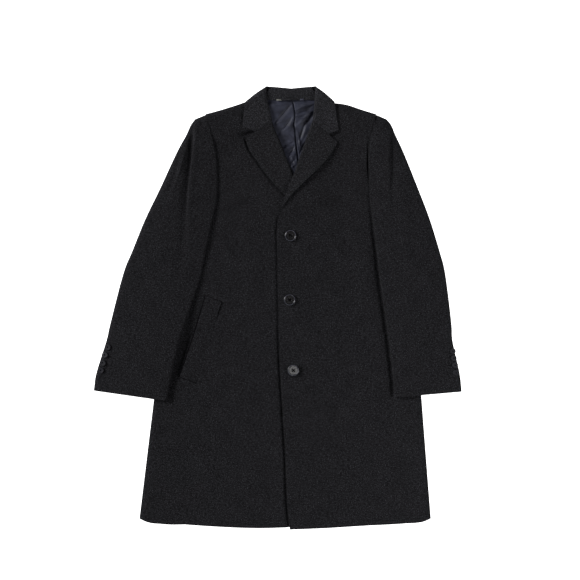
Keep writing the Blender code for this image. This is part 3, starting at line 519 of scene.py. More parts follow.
def satin_lining():
    """Navy satin: two swatches and a range of gloss by a slow noise, and fine ribs of floats as bump."""
    material, tree, shader = finish("viscose_satin_lining", Specular_IOR_Level=0.12, Sheen_Weight=0.15,
                                    Sheen_Tint=linear("#84869a"))
    place = add(tree, "TexCoord").outputs["UV"]
    floats = add(tree, "TexWave", {"Vector": place, "Scale": WAVE / SATIN_FLOAT, "Distortion": 1.5,
                                   "Detail": 2.0}, bands_direction="X").outputs["Fac"]
    cloud = add(tree, "TexNoise", {"Vector": place, "Scale": 1 / SATIN_CLOUD, "Detail": 4.0}).outputs["Fac"]
    tree.links.new(ramp(tree, cloud, 0.32, "#202129", 0.68, "#323440"), shader.inputs["Base Color"])
    gloss = add(tree, "MapRange", {"Value": cloud, "To Min": 0.42, "To Max": 0.56})
    tree.links.new(gloss.outputs["Result"], shader.inputs["Roughness"])
    bump = add(tree, "Bump", {"Height": floats, "Strength": 0.12, "Distance": 0.0002})
    tree.links.new(bump.outputs["Normal"], shader.inputs["Normal"])
    return material


# %% Horn and thread
HORN_GRAIN, THREAD_PLY = 1 / 900, 1 / 1800      # metres: 1.1 mm and 0.6 mm


def dark_horn(name, deep, pale, painted_rim_tone, shine, low, high):
    """Streaked horn: two swatches along the grain, a third painted on the rim's crest (a painted reflection
    on the front buttons, painted shade on the cuff ones), and a range of gloss.
    """
    material, tree, shader = finish(name, Specular_IOR_Level=shine, IOR=1.54)
    place = add(tree, "TexCoord").outputs["Object"]
    streak = add(tree, "Mapping", {"Vector": place, "Scale": (1.0, 0.22, 1.0),
                                   "Rotation": (0, 0, 0.5)}).outputs["Vector"]
    grain = add(tree, "TexNoise", {"Vector": streak, "Scale": 1 / HORN_GRAIN, "Detail": 4.0}).outputs["Fac"]
    # The rim's swatch is painted light or shade: paler as a painted reflection on the front buttons, darker
    # as painted shade on the cuffs
    near_rim = add(tree, "Attribute", attribute_name="rim").outputs["Fac"]
    streaked = ramp(tree, grain, 0.40, deep, 0.72, pale)
    wear_and_painted_light = add(tree, "Mix", {0: near_rim, 6: streaked, 7: linear(painted_rim_tone)}, data_type="RGBA").outputs[2]
    tree.links.new(wear_and_painted_light, shader.inputs["Base Color"])
    gloss = add(tree, "MapRange", {"Value": grain, "To Min": low, "To Max": high})
    tree.links.new(gloss.outputs["Result"], shader.inputs["Roughness"])
    return material


def sewing_thread(name, deep, pale):
    """Matt thread: two swatches and a bump by a noise as fine as its plies."""
    material, tree, shader = finish(name, Roughness=0.8, Specular_IOR_Level=0.0)
    place = add(tree, "TexCoord").outputs["Object"]
    ply = add(tree, "TexNoise", {"Vector": place, "Scale": 1 / THREAD_PLY, "Detail": 2.0}).outputs["Fac"]
    tree.links.new(ramp(tree, ply, 0.35, deep, 0.65, pale), shader.inputs["Base Color"])
    bump = add(tree, "Bump", {"Height": ply, "Strength": 0.4, "Distance": 0.0002})
    tree.links.new(bump.outputs["Normal"], shader.inputs["Normal"])
    return material


satin = satin_lining()
# Front buttons: a pale rim painted as a reflection. Cuff buttons: a dark rim painted as shade
polished_horn = dark_horn("half_polished_dark_horn", "#0b0b0c", "#161617", "#3a3b43", 0.24, 0.18, 0.32)
matt_horn = dark_horn("matt_dark_horn", "#141418", "#202027", "#09090a", 0.10, 0.42, 0.55)
# The dark thread sews the buttons, and also lies along the welt as painted shadow
dark_thread = sewing_thread("dark_sewing_thread", "#060607", "#0c0c0d")
pale_thread = sewing_thread("pale_tack_thread", "#494947", "#85857f")
grey_thread = sewing_thread("grey_tack_thread", "#2c2d36", "#4c4d5a")
print("other finishes:", [satin.name, polished_horn.name, matt_horn.name, dark_thread.name,
                          pale_thread.name, grey_thread.name])

# %% [markdown]
# A panel of cloth.
# Every panel is a closed wall: its face is a grid of points, its back the same grid moved in
# by the cloth's thickness, and its edge three more rings that bulge a little, as a turned and
# pressed edge does. UVs are the lengths along the grid in metres, so the weave keeps its scale.
# An attribute says how near a point is to the edge, where the wool is painted a little paler: partly worn
# nap, partly a painted highlight along the edge.

# %% Wall of cloth
WEAR_AND_LIGHT_WIDTH, NARROWEST_SHEET = 6.0, 0.01
EDGE_RINGS = ((0.12, 0.72), (0.5, 1.0), (0.88, 0.72))      # share of the thickness, share of the bulge


def grid_normals(grid):
    """Unit normals of a grid: its slopes across and up, crossed."""
    across, up = np.gradient(grid, axis=1), np.gradient(grid, axis=0)
    normal = np.cross(across, up)
    return normal / np.maximum(np.linalg.norm(normal, axis=-1, keepdims=True), 1e-9)


def lengths(grid):
    """Length along each row from its first point, and up the columns on average."""
    u = np.cumsum(np.linalg.norm(np.diff(grid, axis=1), axis=-1), axis=1)
    v = np.cumsum(np.linalg.norm(np.diff(grid, axis=0), axis=-1).mean(1))
    u, v = np.pad(u, ((0, 0), (1, 0))), np.pad(v, (1, 0))
    return u, np.broadcast_to(v[:, None], u.shape)


def put_mesh(name, verts, faces, material, uv=None, rim=None):
    """A smooth-shaded object at the origin from arrays in millimetres."""
    mesh = bpy.data.meshes.new(name)
    mesh.from_pydata((verts * MM).tolist(), [], faces)
    mesh.polygons.foreach_set("use_smooth", np.ones(len(mesh.polygons), bool))
    if uv is not None:
        corner = np.empty(len(mesh.loops), np.int32)
        mesh.loops.foreach_get("vertex_index", corner)
        mesh.uv_layers.new(name="lengths").data.foreach_set("uv", (uv[corner] * MM).ravel())
    if rim is not None:
        mesh.attributes.new("rim", "FLOAT", "POINT").data.foreach_set("value", rim)
    mesh.materials.append(material)
    piece = bpy.data.objects.new(name, mesh)
    bpy.context.scene.collection.objects.link(piece)
    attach(piece, "root")
    return piece


def wall(name, grid, thick, material, node, bulge, below=False, level=None):
    """A closed wall inward of its face; where level is 1 it goes in horizontally. The narrow loop is a
    tape, so it isn't declared as a sheet."""
    normal = grid_normals(grid)
    inward = normal
    if level is not None:
        flat = normal * (1, 1, 0)
        flat /= np.maximum(np.linalg.norm(flat, axis=-1, keepdims=True), 1e-9)
        inward = normal + (flat - normal) * np.asarray(level, float)[..., None]
        inward = inward / np.linalg.norm(inward, axis=-1, keepdims=True)
    inner = grid + thick * inward if below else grid - thick * inward
    rows, cols = grid.shape[:2]
    count = rows * cols
    index = np.arange(count).reshape(rows, cols)
    ring = np.concatenate([index[0, :-1], index[:-1, -1], index[-1, :0:-1], index[:0:-1, 0]])
    face, back = grid.reshape(-1, 3), inner.reshape(-1, 3)
    tangent = np.roll(face[ring], -1, 0) - np.roll(face[ring], 1, 0)
    out = np.cross(tangent, normal.reshape(-1, 3)[ring])
    out /= np.maximum(np.linalg.norm(out, axis=-1, keepdims=True), 1e-9)
    swell = np.broadcast_to(np.asarray(bulge, float), (4,)) if np.ndim(bulge) else np.full(4, bulge)
    swell = np.repeat(swell, [cols - 1, rows - 1, cols - 1, rows - 1])[:, None]
    rings = [face[ring] + s * (back[ring] - face[ring]) + out * swell * b
             for s, b in EDGE_RINGS]
    loops = [2 * count + i * len(ring) + np.arange(len(ring)) for i in range(len(rings))]
    loops = [ring] + loops + [ring + count]
    a, b, c, d = index[:-1, :-1], index[:-1, 1:], index[1:, 1:], index[1:, :-1]
    outer = np.stack([a, b, c, d], -1).reshape(-1, 4)
    strips = [np.stack([np.roll(p, -1), p, q, np.roll(q, -1)], -1) for p, q in zip(loops[:-1], loops[1:])]
    faces = np.concatenate([outer, outer[:, ::-1] + count, *strips])
    faces = (faces[:, ::-1] if below else faces).tolist()
    u, v = lengths(grid)
    # How near each point is to the edge, for the wool's paler edge: partly wear, partly a painted highlight
    near = np.minimum(np.minimum(u, u[:, -1:] - u), np.minimum(v, v[-1, 0] - v))
    wear_and_painted_light = np.clip(near / WEAR_AND_LIGHT_WIDTH, 0, 1).ravel()
    uv = np.stack([u - u[:, cols // 2:cols // 2 + 1], v], -1).reshape(-1, 2)
    piece = put_mesh(name, np.concatenate([face, back, *rings]), faces, material,
                     np.concatenate([uv, uv] + [uv[ring]] * len(rings)),
                     np.concatenate([wear_and_painted_light, wear_and_painted_light] + [wear_and_painted_light[ring]] * len(rings)))
    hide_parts(node)
    return piece


def toward_edge(edge_steps, inner, edge_width=0.04):
    """Samples from 0 to 1: the first ones crowd as 1 - cos, for a rolled edge, then run evenly."""
    angles = np.linspace(0, math.pi / 2, edge_steps + 1)[:-1]
    return np.concatenate([edge_width * (1 - np.cos(angles)), np.linspace(edge_width, 1, inner)])


def close_ends(n, first):
    """Even samples from 0 to 1, with one more close to each end."""
    even = np.linspace(0, 1, n)
    return np.concatenate([[0, first], even[1:-1], [1 - first, 1]])


# %% Threads
def tube(path, radius, sides=7):
    """A round profile carried along a path of points; the ends are closed."""
    path = np.asarray(path, float)
    tangent = np.gradient(path, axis=0)
    tangent /= np.linalg.norm(tangent, axis=1, keepdims=True)
    up = np.where(np.abs(tangent[:, 2:]) < 0.9, [[0.0, 0, 1]], [[1.0, 0, 0]])
    side = np.cross(tangent, up)
    side /= np.linalg.norm(side, axis=1, keepdims=True)
    over = np.cross(side, tangent)
    angle = np.linspace(0, 2 * math.pi, sides, endpoint=False)
    verts = path[:, None] + radius * (side[:, None] * np.cos(angle)[:, None]
                                      + over[:, None] * np.sin(angle)[:, None])
    index = np.arange(len(path) * sides).reshape(len(path), sides)
    faces = np.stack([index[:-1], np.roll(index[:-1], -1, 1), np.roll(index[1:], -1, 1), index[1:]], -1)
    faces = faces.reshape(-1, 4)[:, ::-1].tolist() + [index[0].tolist(), index[-1, ::-1].tolist()]
    return verts.reshape(-1, 3), faces


def joined(parts):
    """Several meshes as one: vertices stacked, faces renumbered."""
    verts, faces, start = [], [], 0
    for v, f in parts:
        verts.append(v)
        faces += [[i + start for i in face] for face in f]
        start += len(v)
    return np.concatenate(verts), faces


# %% [markdown]
# The fronts and the back.
# The right front goes on first, then the left one over it. At the side and shoulder seams the
# wall turns in horizontally, so that front and back meet with a 0.3 mm seam. The back rests on
# the table; its creases are shallow hollows beneath it.

# %% Right front
def body_rows(corner, skirt=170, chest=120):
    """Rows from the hem up, closest at the shoulder, with one at the underarm's corner."""
    rows = np.concatenate([[0, 0.0008], np.linspace(0.003, 0.64, skirt), np.linspace(0.644, 0.985, chest),
                           np.linspace(0.987, 0.9985, 7), [0.9993, 0.9998, 1.0]])
    return np.unique(np.append(rows, corner))


def seam_and_armhole(side, armhole):
    """A panel's outer edge, with a corner at the underarm."""
    return side + [side[-1]] + armhole


def at_rim(plan, rim):
    """True at the side and shoulder seams."""
    return rim_rise(plan, SIDE_ROLL, rim) < 0.02


across = np.concatenate([toward_edge(7, 110)[:-1], [0.9975, 1.0]])
outer = seam_and_armhole(SIDE_RIGHT, ARMHOLE_RIGHT)
right_plan = patch(HEM_RIGHT, SHOULDER_RIGHT, outer,
                   EDGE_RIGHT + shifted(ROLL_RIGHT, -SETBACK) + [SHOULDER_RIGHT[-1]],
                   across, body_rows(corner_at(*outer)))
height = front_height(right_plan, hollows=True) + beside_edge(right_plan)
wall("front_right_cloth", raised(right_plan, height), CLOTH, body_wool, "front_right",
     bulge=(0.35, 0.4, 0.05, 0.05), level=at_rim(right_plan, rim_distance(right_plan)))

# %% Left front, over the right one
outer = seam_and_armhole(SIDE_LEFT, ARMHOLE_LEFT)
sleeve_edge = [Point(row.in_x - 2, row.in_y) for row in SLEEVE_LEFT[:8]]
left_plan = patch(HEM_LEFT, SHOULDER_LEFT, EDGE_LEFT + shifted(ROLL_LEFT, SETBACK) + [SHOULDER_LEFT[0]],
                  outer, 1 - across[::-1], body_rows(corner_at(*outer)))
up = left_plan[..., 1]
by_sleeve = 2.6 * smooth((262 - up) / 110)
by_armhole = 3.0 * smooth((412 - up) / 90) * smooth((up - 180) / 40)
height = (top_front_height(left_plan, hollows=True) + trough(left_plan, sleeve_edge, by_sleeve, 4.0)
          + trough(left_plan, shifted(ARMHOLE_LEFT, -3.4), by_armhole, 2.4))
wall("front_left_cloth", raised(left_plan, height), CLOTH, body_wool, "front_left",
     bulge=(0.35, 0.05, 0.05, 0.15), level=at_rim(left_plan, rim_distance(left_plan)))

# %% Back
edge = toward_edge(7, 34, 0.014)
back_plan = patch(BACK_HEM, SHOULDER_RIGHT + NECK[1:-1] + SHOULDER_LEFT,
                  seam_and_armhole(SIDE_RIGHT, BACK_ARMHOLE_RIGHT),
                  seam_and_armhole(SIDE_LEFT, BACK_ARMHOLE_LEFT),
                  np.concatenate([edge / 2, 1 - edge[::-1][1:] / 2]),
                  body_rows(corner_at(*seam_and_armhole(SIDE_RIGHT, BACK_ARMHOLE_RIGHT)), 60, 60))
back_rim = rim_distance(back_plan)
hollow = np.clip(creased(back_plan, BACK_CREASES), 0, 2) * smooth(back_rim / 40)
wall("back_cloth", raised(back_plan, back_height(back_plan, back_rim) + hollow), CLOTH, body_wool,
     "back", bulge=0.05, below=True, level=at_rim(back_plan, back_rim))

# %% [markdown]
# The lapels.
# A lapel is the front turned over along its roll line, so its face is the facing. It lies on
# the front, turns round the roll, and its outer edge stands off a little where the canvas
# inside springs. The left one stands off more, and throws the wider shadow.

# %% Lapels
LAPEL_TURN, FOLD_ROLL = 4.2, 6.0


def lapel(roll, edge, notch, gorge, lies_on, lift):
    """Lapel face: height of the front + its own wall, lowered at the roll, eased up at the edge."""
    t = np.concatenate([toward_edge(6, 30, 0.10)[:-1], [0.985, 1.0]])
    tip = corner_at(notch, edge[0], *edge)
    v = np.concatenate([np.linspace(0, tip, 8)[:-1], np.linspace(tip, 1, 70)])
    fold = [gorge] + [p for p in roll[::-1] if p.y < gorge.y - 1]
    rim = [notch, edge[0]] + edge
    plan = patch([gorge, notch], [fold[-1], rim[-1]], fold, rim, t, v)
    from_fold = distance(plan, fold)
    t, v = np.meshgrid(t, v)
    spring = lift * smooth((t - 0.35) / 0.65) * np.sin(math.pi * np.clip(v, 0, 1)) ** 0.7
    fading = 1 - smooth((v - 0.55) / 0.3)
    height = lies_on(plan) + LAP + FACED + spring - LAPEL_TURN * fading * (1 - quarter(from_fold, FOLD_ROLL))
    return raised(plan, height), (from_fold < SEAM) * fading


grid, level = lapel(ROLL_RIGHT, LAPEL_EDGE_RIGHT, NOTCH_RIGHT, GORGE_RIGHT, front_height, 2.0)
wall("lapel_right_cloth", grid[:, ::-1], FACED, facing_wool_painted_lighter, "lapel_right",
     bulge=0.3, below=True, level=level[:, ::-1])
grid, level = lapel(ROLL_LEFT, LAPEL_EDGE_LEFT, NOTCH_LEFT, GORGE_LEFT, top_front_height, 2.8)
wall("lapel_left_cloth", grid, FACED, facing_wool_painted_lighter, "lapel_left", bulge=0.3, below=True,
     level=level)

# %% [markdown]
# The sleeves.
# A two-piece sleeve has a wide top sleeve and a narrow under sleeve. Laid flat, its outer edge
# rolls round on the table, and its inner edge lies on the body. Each section of the table is a
# ring of points from the hind-arm seam over the top to the front seam, and the rings are
# joined smoothly up to the cap.

# %% Sleeve rings
def sections(rows, k):
    """A sleeve's sections at row numbers k, whole or between; the seam runs straight between rows."""
    number = np.arange(len(rows), dtype=float)
    found = Section(*np.moveaxis(hermite(rows, number, k), -1, 0))
    return found._replace(seam=np.interp(k, number, [row.seam for row in rows]))


def section_frame(rows, k):
    """Sections, their outer ends, unit ways across and widths."""
    s = sections(rows, k)
    start, end = np.stack([s.out_x, s.out_y], -1), np.stack([s.in_x, s.in_y], -1)
    width = np.linalg.norm(end - start, axis=-1)
    return s, start, (end - start) / width[:, None], width


def column(values):
    """A value for each ring, to be spread along it."""
    return np.asarray(values)[:, None]


def sleeve_ring(rows, side, k, seam_steps=5, roll_steps=9, top_steps=90, inner_steps=8):
    """Each ring in turn: flat beneath, an elliptic roll at the outer edge, a crowned top with its
    long fold, which leans over on the inner side, a roll at the inner edge, and a way back under it."""
    s, start, way, width = section_frame(rows, k)
    rest = sleeve_rest(start + way * column(width), side) - CAP_SINK * smooth(k - 8.9)
    closing = quarter(len(rows) - 1 - k, 1.2)
    scale = np.minimum(1, width / 60)
    seam = np.linspace(0, 1, seam_steps + 1)[:-1]
    low = np.radians(np.linspace(-90, 0, roll_steps + 1)[:-1])
    high = np.radians(np.linspace(0, 90, roll_steps + 1)[:-1])
    lying = 1 - smooth((k - UNDERARM_ROW - 0.7) / 2)
    outer_roll = OUTER_ROLL * scale
    inner_roll = (CAP_ROLL + (INNER_ROLL - CAP_ROLL) * lying) * (1 - 0.65 * smooth((k - 9.3) / 0.9))
    opening = smooth((k - 9.2) / 1.5)
    sweep = column(95 + 85 * lying - 60 * opening)
    turn = np.radians(90 - sweep * np.linspace(0, 1, 2 * inner_steps + 1)[1:])
    back = np.array([0.25, 0.5, 0.75, 1.0])
    under_roll = OUTER_ROLL_UNDER * scale
    last = column(width) - column(inner_roll) * (1 - np.cos(turn))
    across = np.concatenate([
        column(np.maximum(s.seam, under_roll)) * (1 - seam) + column(under_roll) * seam,
        column(under_roll) * (1 - np.cos(low)),
        column(outer_roll) * (1 - np.cos(high)),
        column(outer_roll) + column(width - outer_roll - inner_roll) * np.linspace(0, 1, top_steps + 1),
        last, last[:, -1:] + column(0.65 * opening - INNER_TURN * lying) * back], 1)
    share = np.clip(across / column(width), 0, 1)
    crown = (column(s.loft) + column(rest + 2 * s.turn - s.loft) * smooth(share)
             + column(s.crown) * np.sin(math.pi * share))
    aside = (share - column(s.fold_at)) * column(width) - 2
    steep = FOLD_STEEP + FOLD_EASED * (1 - smooth((column(k) - 5) / 2))
    deep = column(FOLD_DEPTH * s.fold)
    crown = crown - deep * (np.exp(-(aside / np.where(aside > 0, steep, FOLD_GENTLE)) ** 2)
                            - FOLD_RIDGE * np.exp(-((aside - RIDGE_AT) / RIDGE_WIDTH) ** 2))
    lean = (column(FOLD_LEAN * s.fold / 7 * smooth(k - 5.5))
            * np.exp(-((aside - LEAN_AT) / LEAN_WIDTH) ** 2))
    plan = start[:, None] + way[:, None] * (across - lean)[..., None]
    first = seam_steps + roll_steps
    half = column(s.loft / 2)
    upper = half + (crown[:, first:first + roll_steps] - half) * np.sin(high)
    middle = crown[:, first + roll_steps:first + roll_steps + top_steps + 1]
    centre = column(rest + s.turn)
    bend = centre + np.where(turn > 0, middle[:, -1:] - centre, column(s.turn)) * np.sin(turn)
    under = sleeve_rest(plan[:, -len(back):], side) - column(rest)
    drop = column((1 - lying) * (CAP_FOOT + (0.46 - CAP_FOOT) * opening))
    tail = bend[:, -1:] - drop * back + column(lying) * under
    height = np.concatenate([np.zeros((len(k), seam_steps)), half * (1 + np.sin(low)), upper, middle,
                             bend, tail], 1)
    height = half + (height - half) * np.maximum(column(closing), 0.12)
    return raised(plan, height)


def under_sleeve_ring(rows, side, k, steps=60):
    """From the front seam, down off the body and out to the hind-arm seam."""
    s, start, way, width = section_frame(rows, k)
    gap = 0.6
    depth = inside_body(np.stack([start, start + way * column(width)]), side)
    reach = width / (depth[1] - depth[0])
    stops = np.stack([s.seam + gap, reach * (-CLIMB - depth[0]), reach * (2 - depth[0]),
                      width - INNER_ROLL - INNER_TURN - gap], -1)
    stops = np.sort(stops, -1)
    even = np.linspace(0, 3, steps)
    low = np.minimum(even.astype(int), 2)
    across = stops[:, low] + (stops[:, low + 1] - stops[:, low]) * (even - low)
    plan = start[:, None] + way[:, None] * across[..., None]
    return raised(plan, sleeve_rest(plan, side))


# %% Top and under sleeves
SLEEVE_ROWS = np.unique(np.concatenate([[0, 0.02], np.linspace(0.05, 9.5, 150), np.linspace(9.5, 10.85, 26),
                                        [10.92, 11], [UNDERARM_ROW]]))
CUFF_BULGE = (0.35, 0.05, 0.05, 0.05)
for name, rows, side in (("right", SLEEVE_RIGHT, 1), ("left", SLEEVE_LEFT, -1)):
    ring = sleeve_ring(rows, side, SLEEVE_ROWS)
    upward = smooth((grid_normals(ring)[..., 2] * side - 0.3) / 0.4)
    away = smooth((len(rows) - 1.6 - SLEEVE_ROWS) / 1.5)[:, None]
    ring[..., 2] += (creased(ring[..., :2], SLEEVE_CREASES) + unevenness(ring[..., :2])) * upward * away
    closed = np.zeros(ring.shape[:2])
    closed[-1] = 1
    wall("top_sleeve_" + name + "_cloth", ring, SLEEVE_CLOTH, sleeve_wool,
         "top_sleeve_" + name, bulge=CUFF_BULGE, below=side < 0, level=closed)
    ring = under_sleeve_ring(rows, side, SLEEVE_ROWS[SLEEVE_ROWS <= UNDERARM_ROW])
    wall("under_sleeve_" + name + "_cloth", ring, SLEEVE_CLOTH, sleeve_wool,
         "under_sleeve_" + name, bulge=CUFF_BULGE, below=side > 0)

# %% [markdown]
# The collar, the stand and the lining.
# The collar's fall goes round the neck in one piece: a leaf on each front and the back part
# beneath, with the fold as its upper edge. Inside it stands the collar stand, then the satin
# lining of the back with its centre pleat, and a loop to hang the coat by. Satin creases far
# more than wool, so it has a table of creases of its own.

# %% Collar fall
OUTLINE_ROLL, COLLAR_ROLL = 9.0, 7.0


def top_front_crown(plan):
    """Height of the left front without its creases, a step up where it laps."""
    return thickness(plan) + FRONT_STEP * (1 - smooth((plan[..., 0] - 62) / 120))


def collar_half(side, fold, top, tip, notch, gorge, lies_on):
    """One leaf and the half of the back part beneath it: full height, rounded at outline and fold."""
    across = np.concatenate([toward_edge(6, 26, 0.16)[:-1], [0.985, 1.0]])
    along = toward_edge(6, 26, 0.15)
    meet = Point(notch.x, notch.y + 0.8)
    lower = [Point(gorge.x, gorge.y + 0.8), meet, meet, tip]
    t = np.unique(np.append(across, corner_at(*lower)))
    fold = fold[:-1] + [lower[0]]
    outline = [fold[0], Point((fold[0].x + top.x) / 2 - side, (fold[0].y + top.y) / 2 + 1), top]
    plan = patch(outline, lower, fold, [top, Point((top.x + tip.x) / 2, (top.y + tip.y) / 2), tip], t, along)
    full = lies_on(plan) + LAP + FACED + unevenness(plan) * 0.5
    edge = quarter(distance(plan, outline), OUTLINE_ROLL)
    rolled = quarter(distance(plan, fold), COLLAR_ROLL)
    centre = full / 2 + (full / 2 - 5) * smooth(distance(plan, outline) / 25)
    leaf = raised(plan, centre + (full - centre) * edge * rolled)
    middle = [fold[0], Point((fold[0].x * 2 + COLLAR_BACK.x) / 3, fold[0].y - 1), COLLAR_BACK]
    foot = [top, Point((top.x * 2 + COLLAR_BACK.x) / 3, COLLAR_BACK.y - FALL_DEPTH + 8),
            Point(COLLAR_BACK.x, COLLAR_BACK.y - FALL_DEPTH)]
    plan = patch(outline, [middle[-1], foot[-1]], middle, foot, t, along)
    edge = quarter(distance(plan, outline), OUTLINE_ROLL)
    rolled = quarter(distance(plan, middle), COLLAR_ROLL)
    full = lies_on(plan) + LAP + FACED
    centre = full / 2 + (STAND_HEIGHT / 2 - SEAM / 2 - full / 2) * smooth(distance(plan, outline) / 12)
    beneath = raised(plan, centre * (1 - edge * rolled))
    return np.concatenate([leaf[::-1], beneath[1:]]), len(along)


right_half, rows_each = collar_half(1, COLLAR_FOLD_RIGHT, COLLAR_TOP_RIGHT, COLLAR_TIP_RIGHT, NOTCH_RIGHT,
                                    GORGE_RIGHT, thickness)
left_half, rows_each = collar_half(-1, COLLAR_FOLD_LEFT, COLLAR_TOP_LEFT, COLLAR_TIP_LEFT, NOTCH_LEFT,
                                   GORGE_LEFT, top_front_crown)
ring = np.concatenate([right_half, left_half[::-1][1:]])
folded = np.zeros(ring.shape[:2])
from_corner = np.abs(np.abs(np.arange(len(ring)) - len(ring) // 2) - rows_each + 1)
folded[:, 0] = smooth(from_corner / 6)
wall("collar_fall_cloth", ring, FACED, collar_wool_painted_lighter, "collar_fall",
     bulge=0.2, below=True, level=folded)

# %% Hanger loop
v = np.linspace(0, 1, 41)
ends = np.array(LOOP_ENDS, float)
middle = ends[0] + (ends[1] - ends[0]) * v[:, None]
plan = middle[None] + np.array([0, 1.0]) * np.linspace(-LOOP_WIDTH / 2, LOOP_WIDTH / 2, 9)[:, None, None]
height = STAND_HEIGHT + SEAM + LINING + LOOP_RISE * np.sin(math.pi * v) ** 2
hanger_loop = wall("hanger_loop_cloth", raised(plan, height), LINING, collar_wool_painted_lighter,
                   "hanger_loop", bulge=0.3)

# %% Bar tacks of the loop
TACK_STEP, TACK_RISE, TACK_RADIUS = 0.8, 2.0, 0.45


def bar_tack(name, x0, x1, y0, strands, thread):
    """Strands side by side, each a low arch over an end of the loop."""
    t = np.linspace(0, 1, 15)
    arch = STAND_HEIGHT + 0.2 + TACK_RISE * np.sqrt(np.clip(4 * t * (1 - t), 0, 1))
    parts = [tube(np.stack([x0 + (x1 - x0) * t, np.full(15, y0 + TACK_STEP * i), arch], -1), TACK_RADIUS)
             for i in range(strands)]
    piece = put_mesh(name, *joined(parts), thread)
    return piece


tack_right = bar_tack("loop_tack_right", -3.0, 8.5, 476.0, 4, pale_thread)
tack_left = bar_tack("loop_tack_left", 51.5, 59.5, 476.4, 5, grey_thread)

# %% Collar stand
fold = points((-16, 505.8), (COLLAR_BACK.x, COLLAR_BACK.y - 0.3), (77, 505.8))
foot = points((-42, STAND_FOOT), (COLLAR_BACK.x, STAND_FOOT), (103, STAND_FOOT))
plan = patch(foot, fold, [foot[0], fold[0]], [foot[-1], fold[-1]], close_ends(50, 0.006),
             1 - toward_edge(6, 16, 0.25)[::-1])
from_fold = distance(plan, fold)
low = STAND_HEIGHT / 2 + SEAM / 2
height = low + (STAND_HEIGHT - low) * quarter(from_fold, FOLD_ROLL)
wall("collar_stand_cloth", raised(plan, height), STAND_CLOTH, collar_wool_painted_lighter, "collar_stand",
     bulge=0.1, level=from_fold < SEAM)

# %% Satin lining of the back
PUFF, GROOVE = 2.8, 5.0      # the satin stands off the back, and the pleat's inner fold goes down to it
GROOVE_AT, GROOVE_WIDTH, PLEAT_WIDE, PLEAT_NARROW = 1.4, 1.5, 16, 9
TAUT_AT, WAVER_LEFT, SLACK_AT, WAVER_RIGHT = 444, 1.8, 421, 2.2      # the pleat's line wavers
LINING_CREASES = [
    Crease(34, 470, -12, 418, -2.8, 3.0, 0), Crease(36, 460, -4, 412, 1.8, 5.0, 0),
    Crease(34, 442, -3, 397, -2.6, 3.0, 4), Crease(36, 430, 8, 394, 1.3, 5.5, 4),
    Crease(40, 378, 18, 338, -1.9, 2.5, 2), Crease(42, 364, 28, 334, 0.9, 3.5, 1),
    Crease(30, 386, 12, 360, 1.4, 3.5, 1), Crease(-26, 452, 26, 475, 1.6, 6.0, 3),
    Crease(82, 461, 36, 410, 3.4, 4.5, 3), Crease(86, 450, 54, 416, -3.2, 4.0, 2),
    Crease(69, 422, 45, 364, 1.4, 5.0, 2), Crease(63, 426, 47, 382, -2.4, 3.0, 1),
    Crease(44, 455, 86, 474, 2.0, 4.5, 2), Crease(44, 445, 80, 465, -2.0, 3.5, -1),
    Crease(26, 338, 40, 306, 1.2, 2.5, 1), Crease(30, 348, 43, 328, 1.0, 2.5, 0),
    Crease(-30, 466, 34, 468, 1.8, 3.5, 1), Crease(38, 468, 98, 470, 2.2, 3.5, -1),
    Crease(38, 452, 86, 470, 2.6, 2.5, 1), Crease(38, 446, 88, 459, -2.6, 2.2, -1),
    Crease(38, 440, 86, 451, 2.8, 2.6, 0), Crease(38, 434, 76, 436, -2.0, 2.2, 2),
    Crease(30, 437, -8, 424, 1.8, 2.4, 1), Crease(33, 418, 2, 404, 1.9, 2.4, 1),
    Crease(12, 372, 40, 381, -2.2, 2.2, 0), Crease(13, 365, 38, 372, 2.2, 2.2, 0),
    Crease(20, 355, 42, 362, -2.0, 2.0, 0), Crease(22, 346, 42, 353, 2.0, 2.0, 0),
    Crease(26, 330, 42, 340, -2.0, 2.0, 0), Crease(28, 320, 42, 330, 2.0, 2.0, 0),
    Crease(64, 382, 48, 350, -1.7, 2.2, 1), Crease(72, 404, 54, 370, 1.5, 2.5, 1),
    Crease(44, 410, 52, 366, 1.8, 2.6, 1), Crease(20, 400, 36, 386, 1.1, 2.4, 1),
]
rows = np.array(LINING_ROWS, float)
y = np.linspace(rows[0, 0], rows[-1, 0], 140)[:, None]
right, left, pleat_x = np.moveaxis(hermite(rows[:, 1:], rows[:, 0], y), -1, 0)
slack = np.exp(-((y - SLACK_AT) / 8) ** 2)
pleat_x = pleat_x + WAVER_LEFT * np.exp(-((y - TAUT_AT) / 12) ** 2) - WAVER_RIGHT * slack
across = np.linspace(-1, 1, 121)
across = np.sign(across) * np.abs(across) ** 1.5
past = np.where(across < 0, across * (pleat_x - right), across * (left - pleat_x))
plan = np.stack(np.broadcast_arrays(pleat_x + past, y), -1)
fall = np.where(past < 0, PLEAT_WIDE, PLEAT_NARROW)
pleat = (PLEAT * np.exp(-np.abs(past) / fall) * np.where(past < 0, 1, 0.7)
         - GROOVE * np.exp(-((past - GROOVE_AT) / (GROOVE_WIDTH + slack)) ** 2))
relief = PUFF + pleat + creased(plan, LINING_CREASES)
height = (COLLAR_LIFT * smooth((y - 370) / 60) + CLOTH + LAP + LINING + 5.0 * smooth((370 - y) / 40)
          + np.maximum(relief, 0) * smooth((478 - y) / 14))
wall("back_lining_cloth", raised(plan, height), LINING, satin, "back_lining", bulge=0.1)

# %% [markdown]
# The pocket.
# A slanted welt closes the hand pocket. It is a folded strip sewn along its inner side and at
# both ends. Its free edge bows, and the front sinks behind it into the mouth of the pocket. The
# mouth and the sewn ends are narrower than a step of the front's grid, so a dark thread lies
# sunk along them, where the real ones are in shadow.

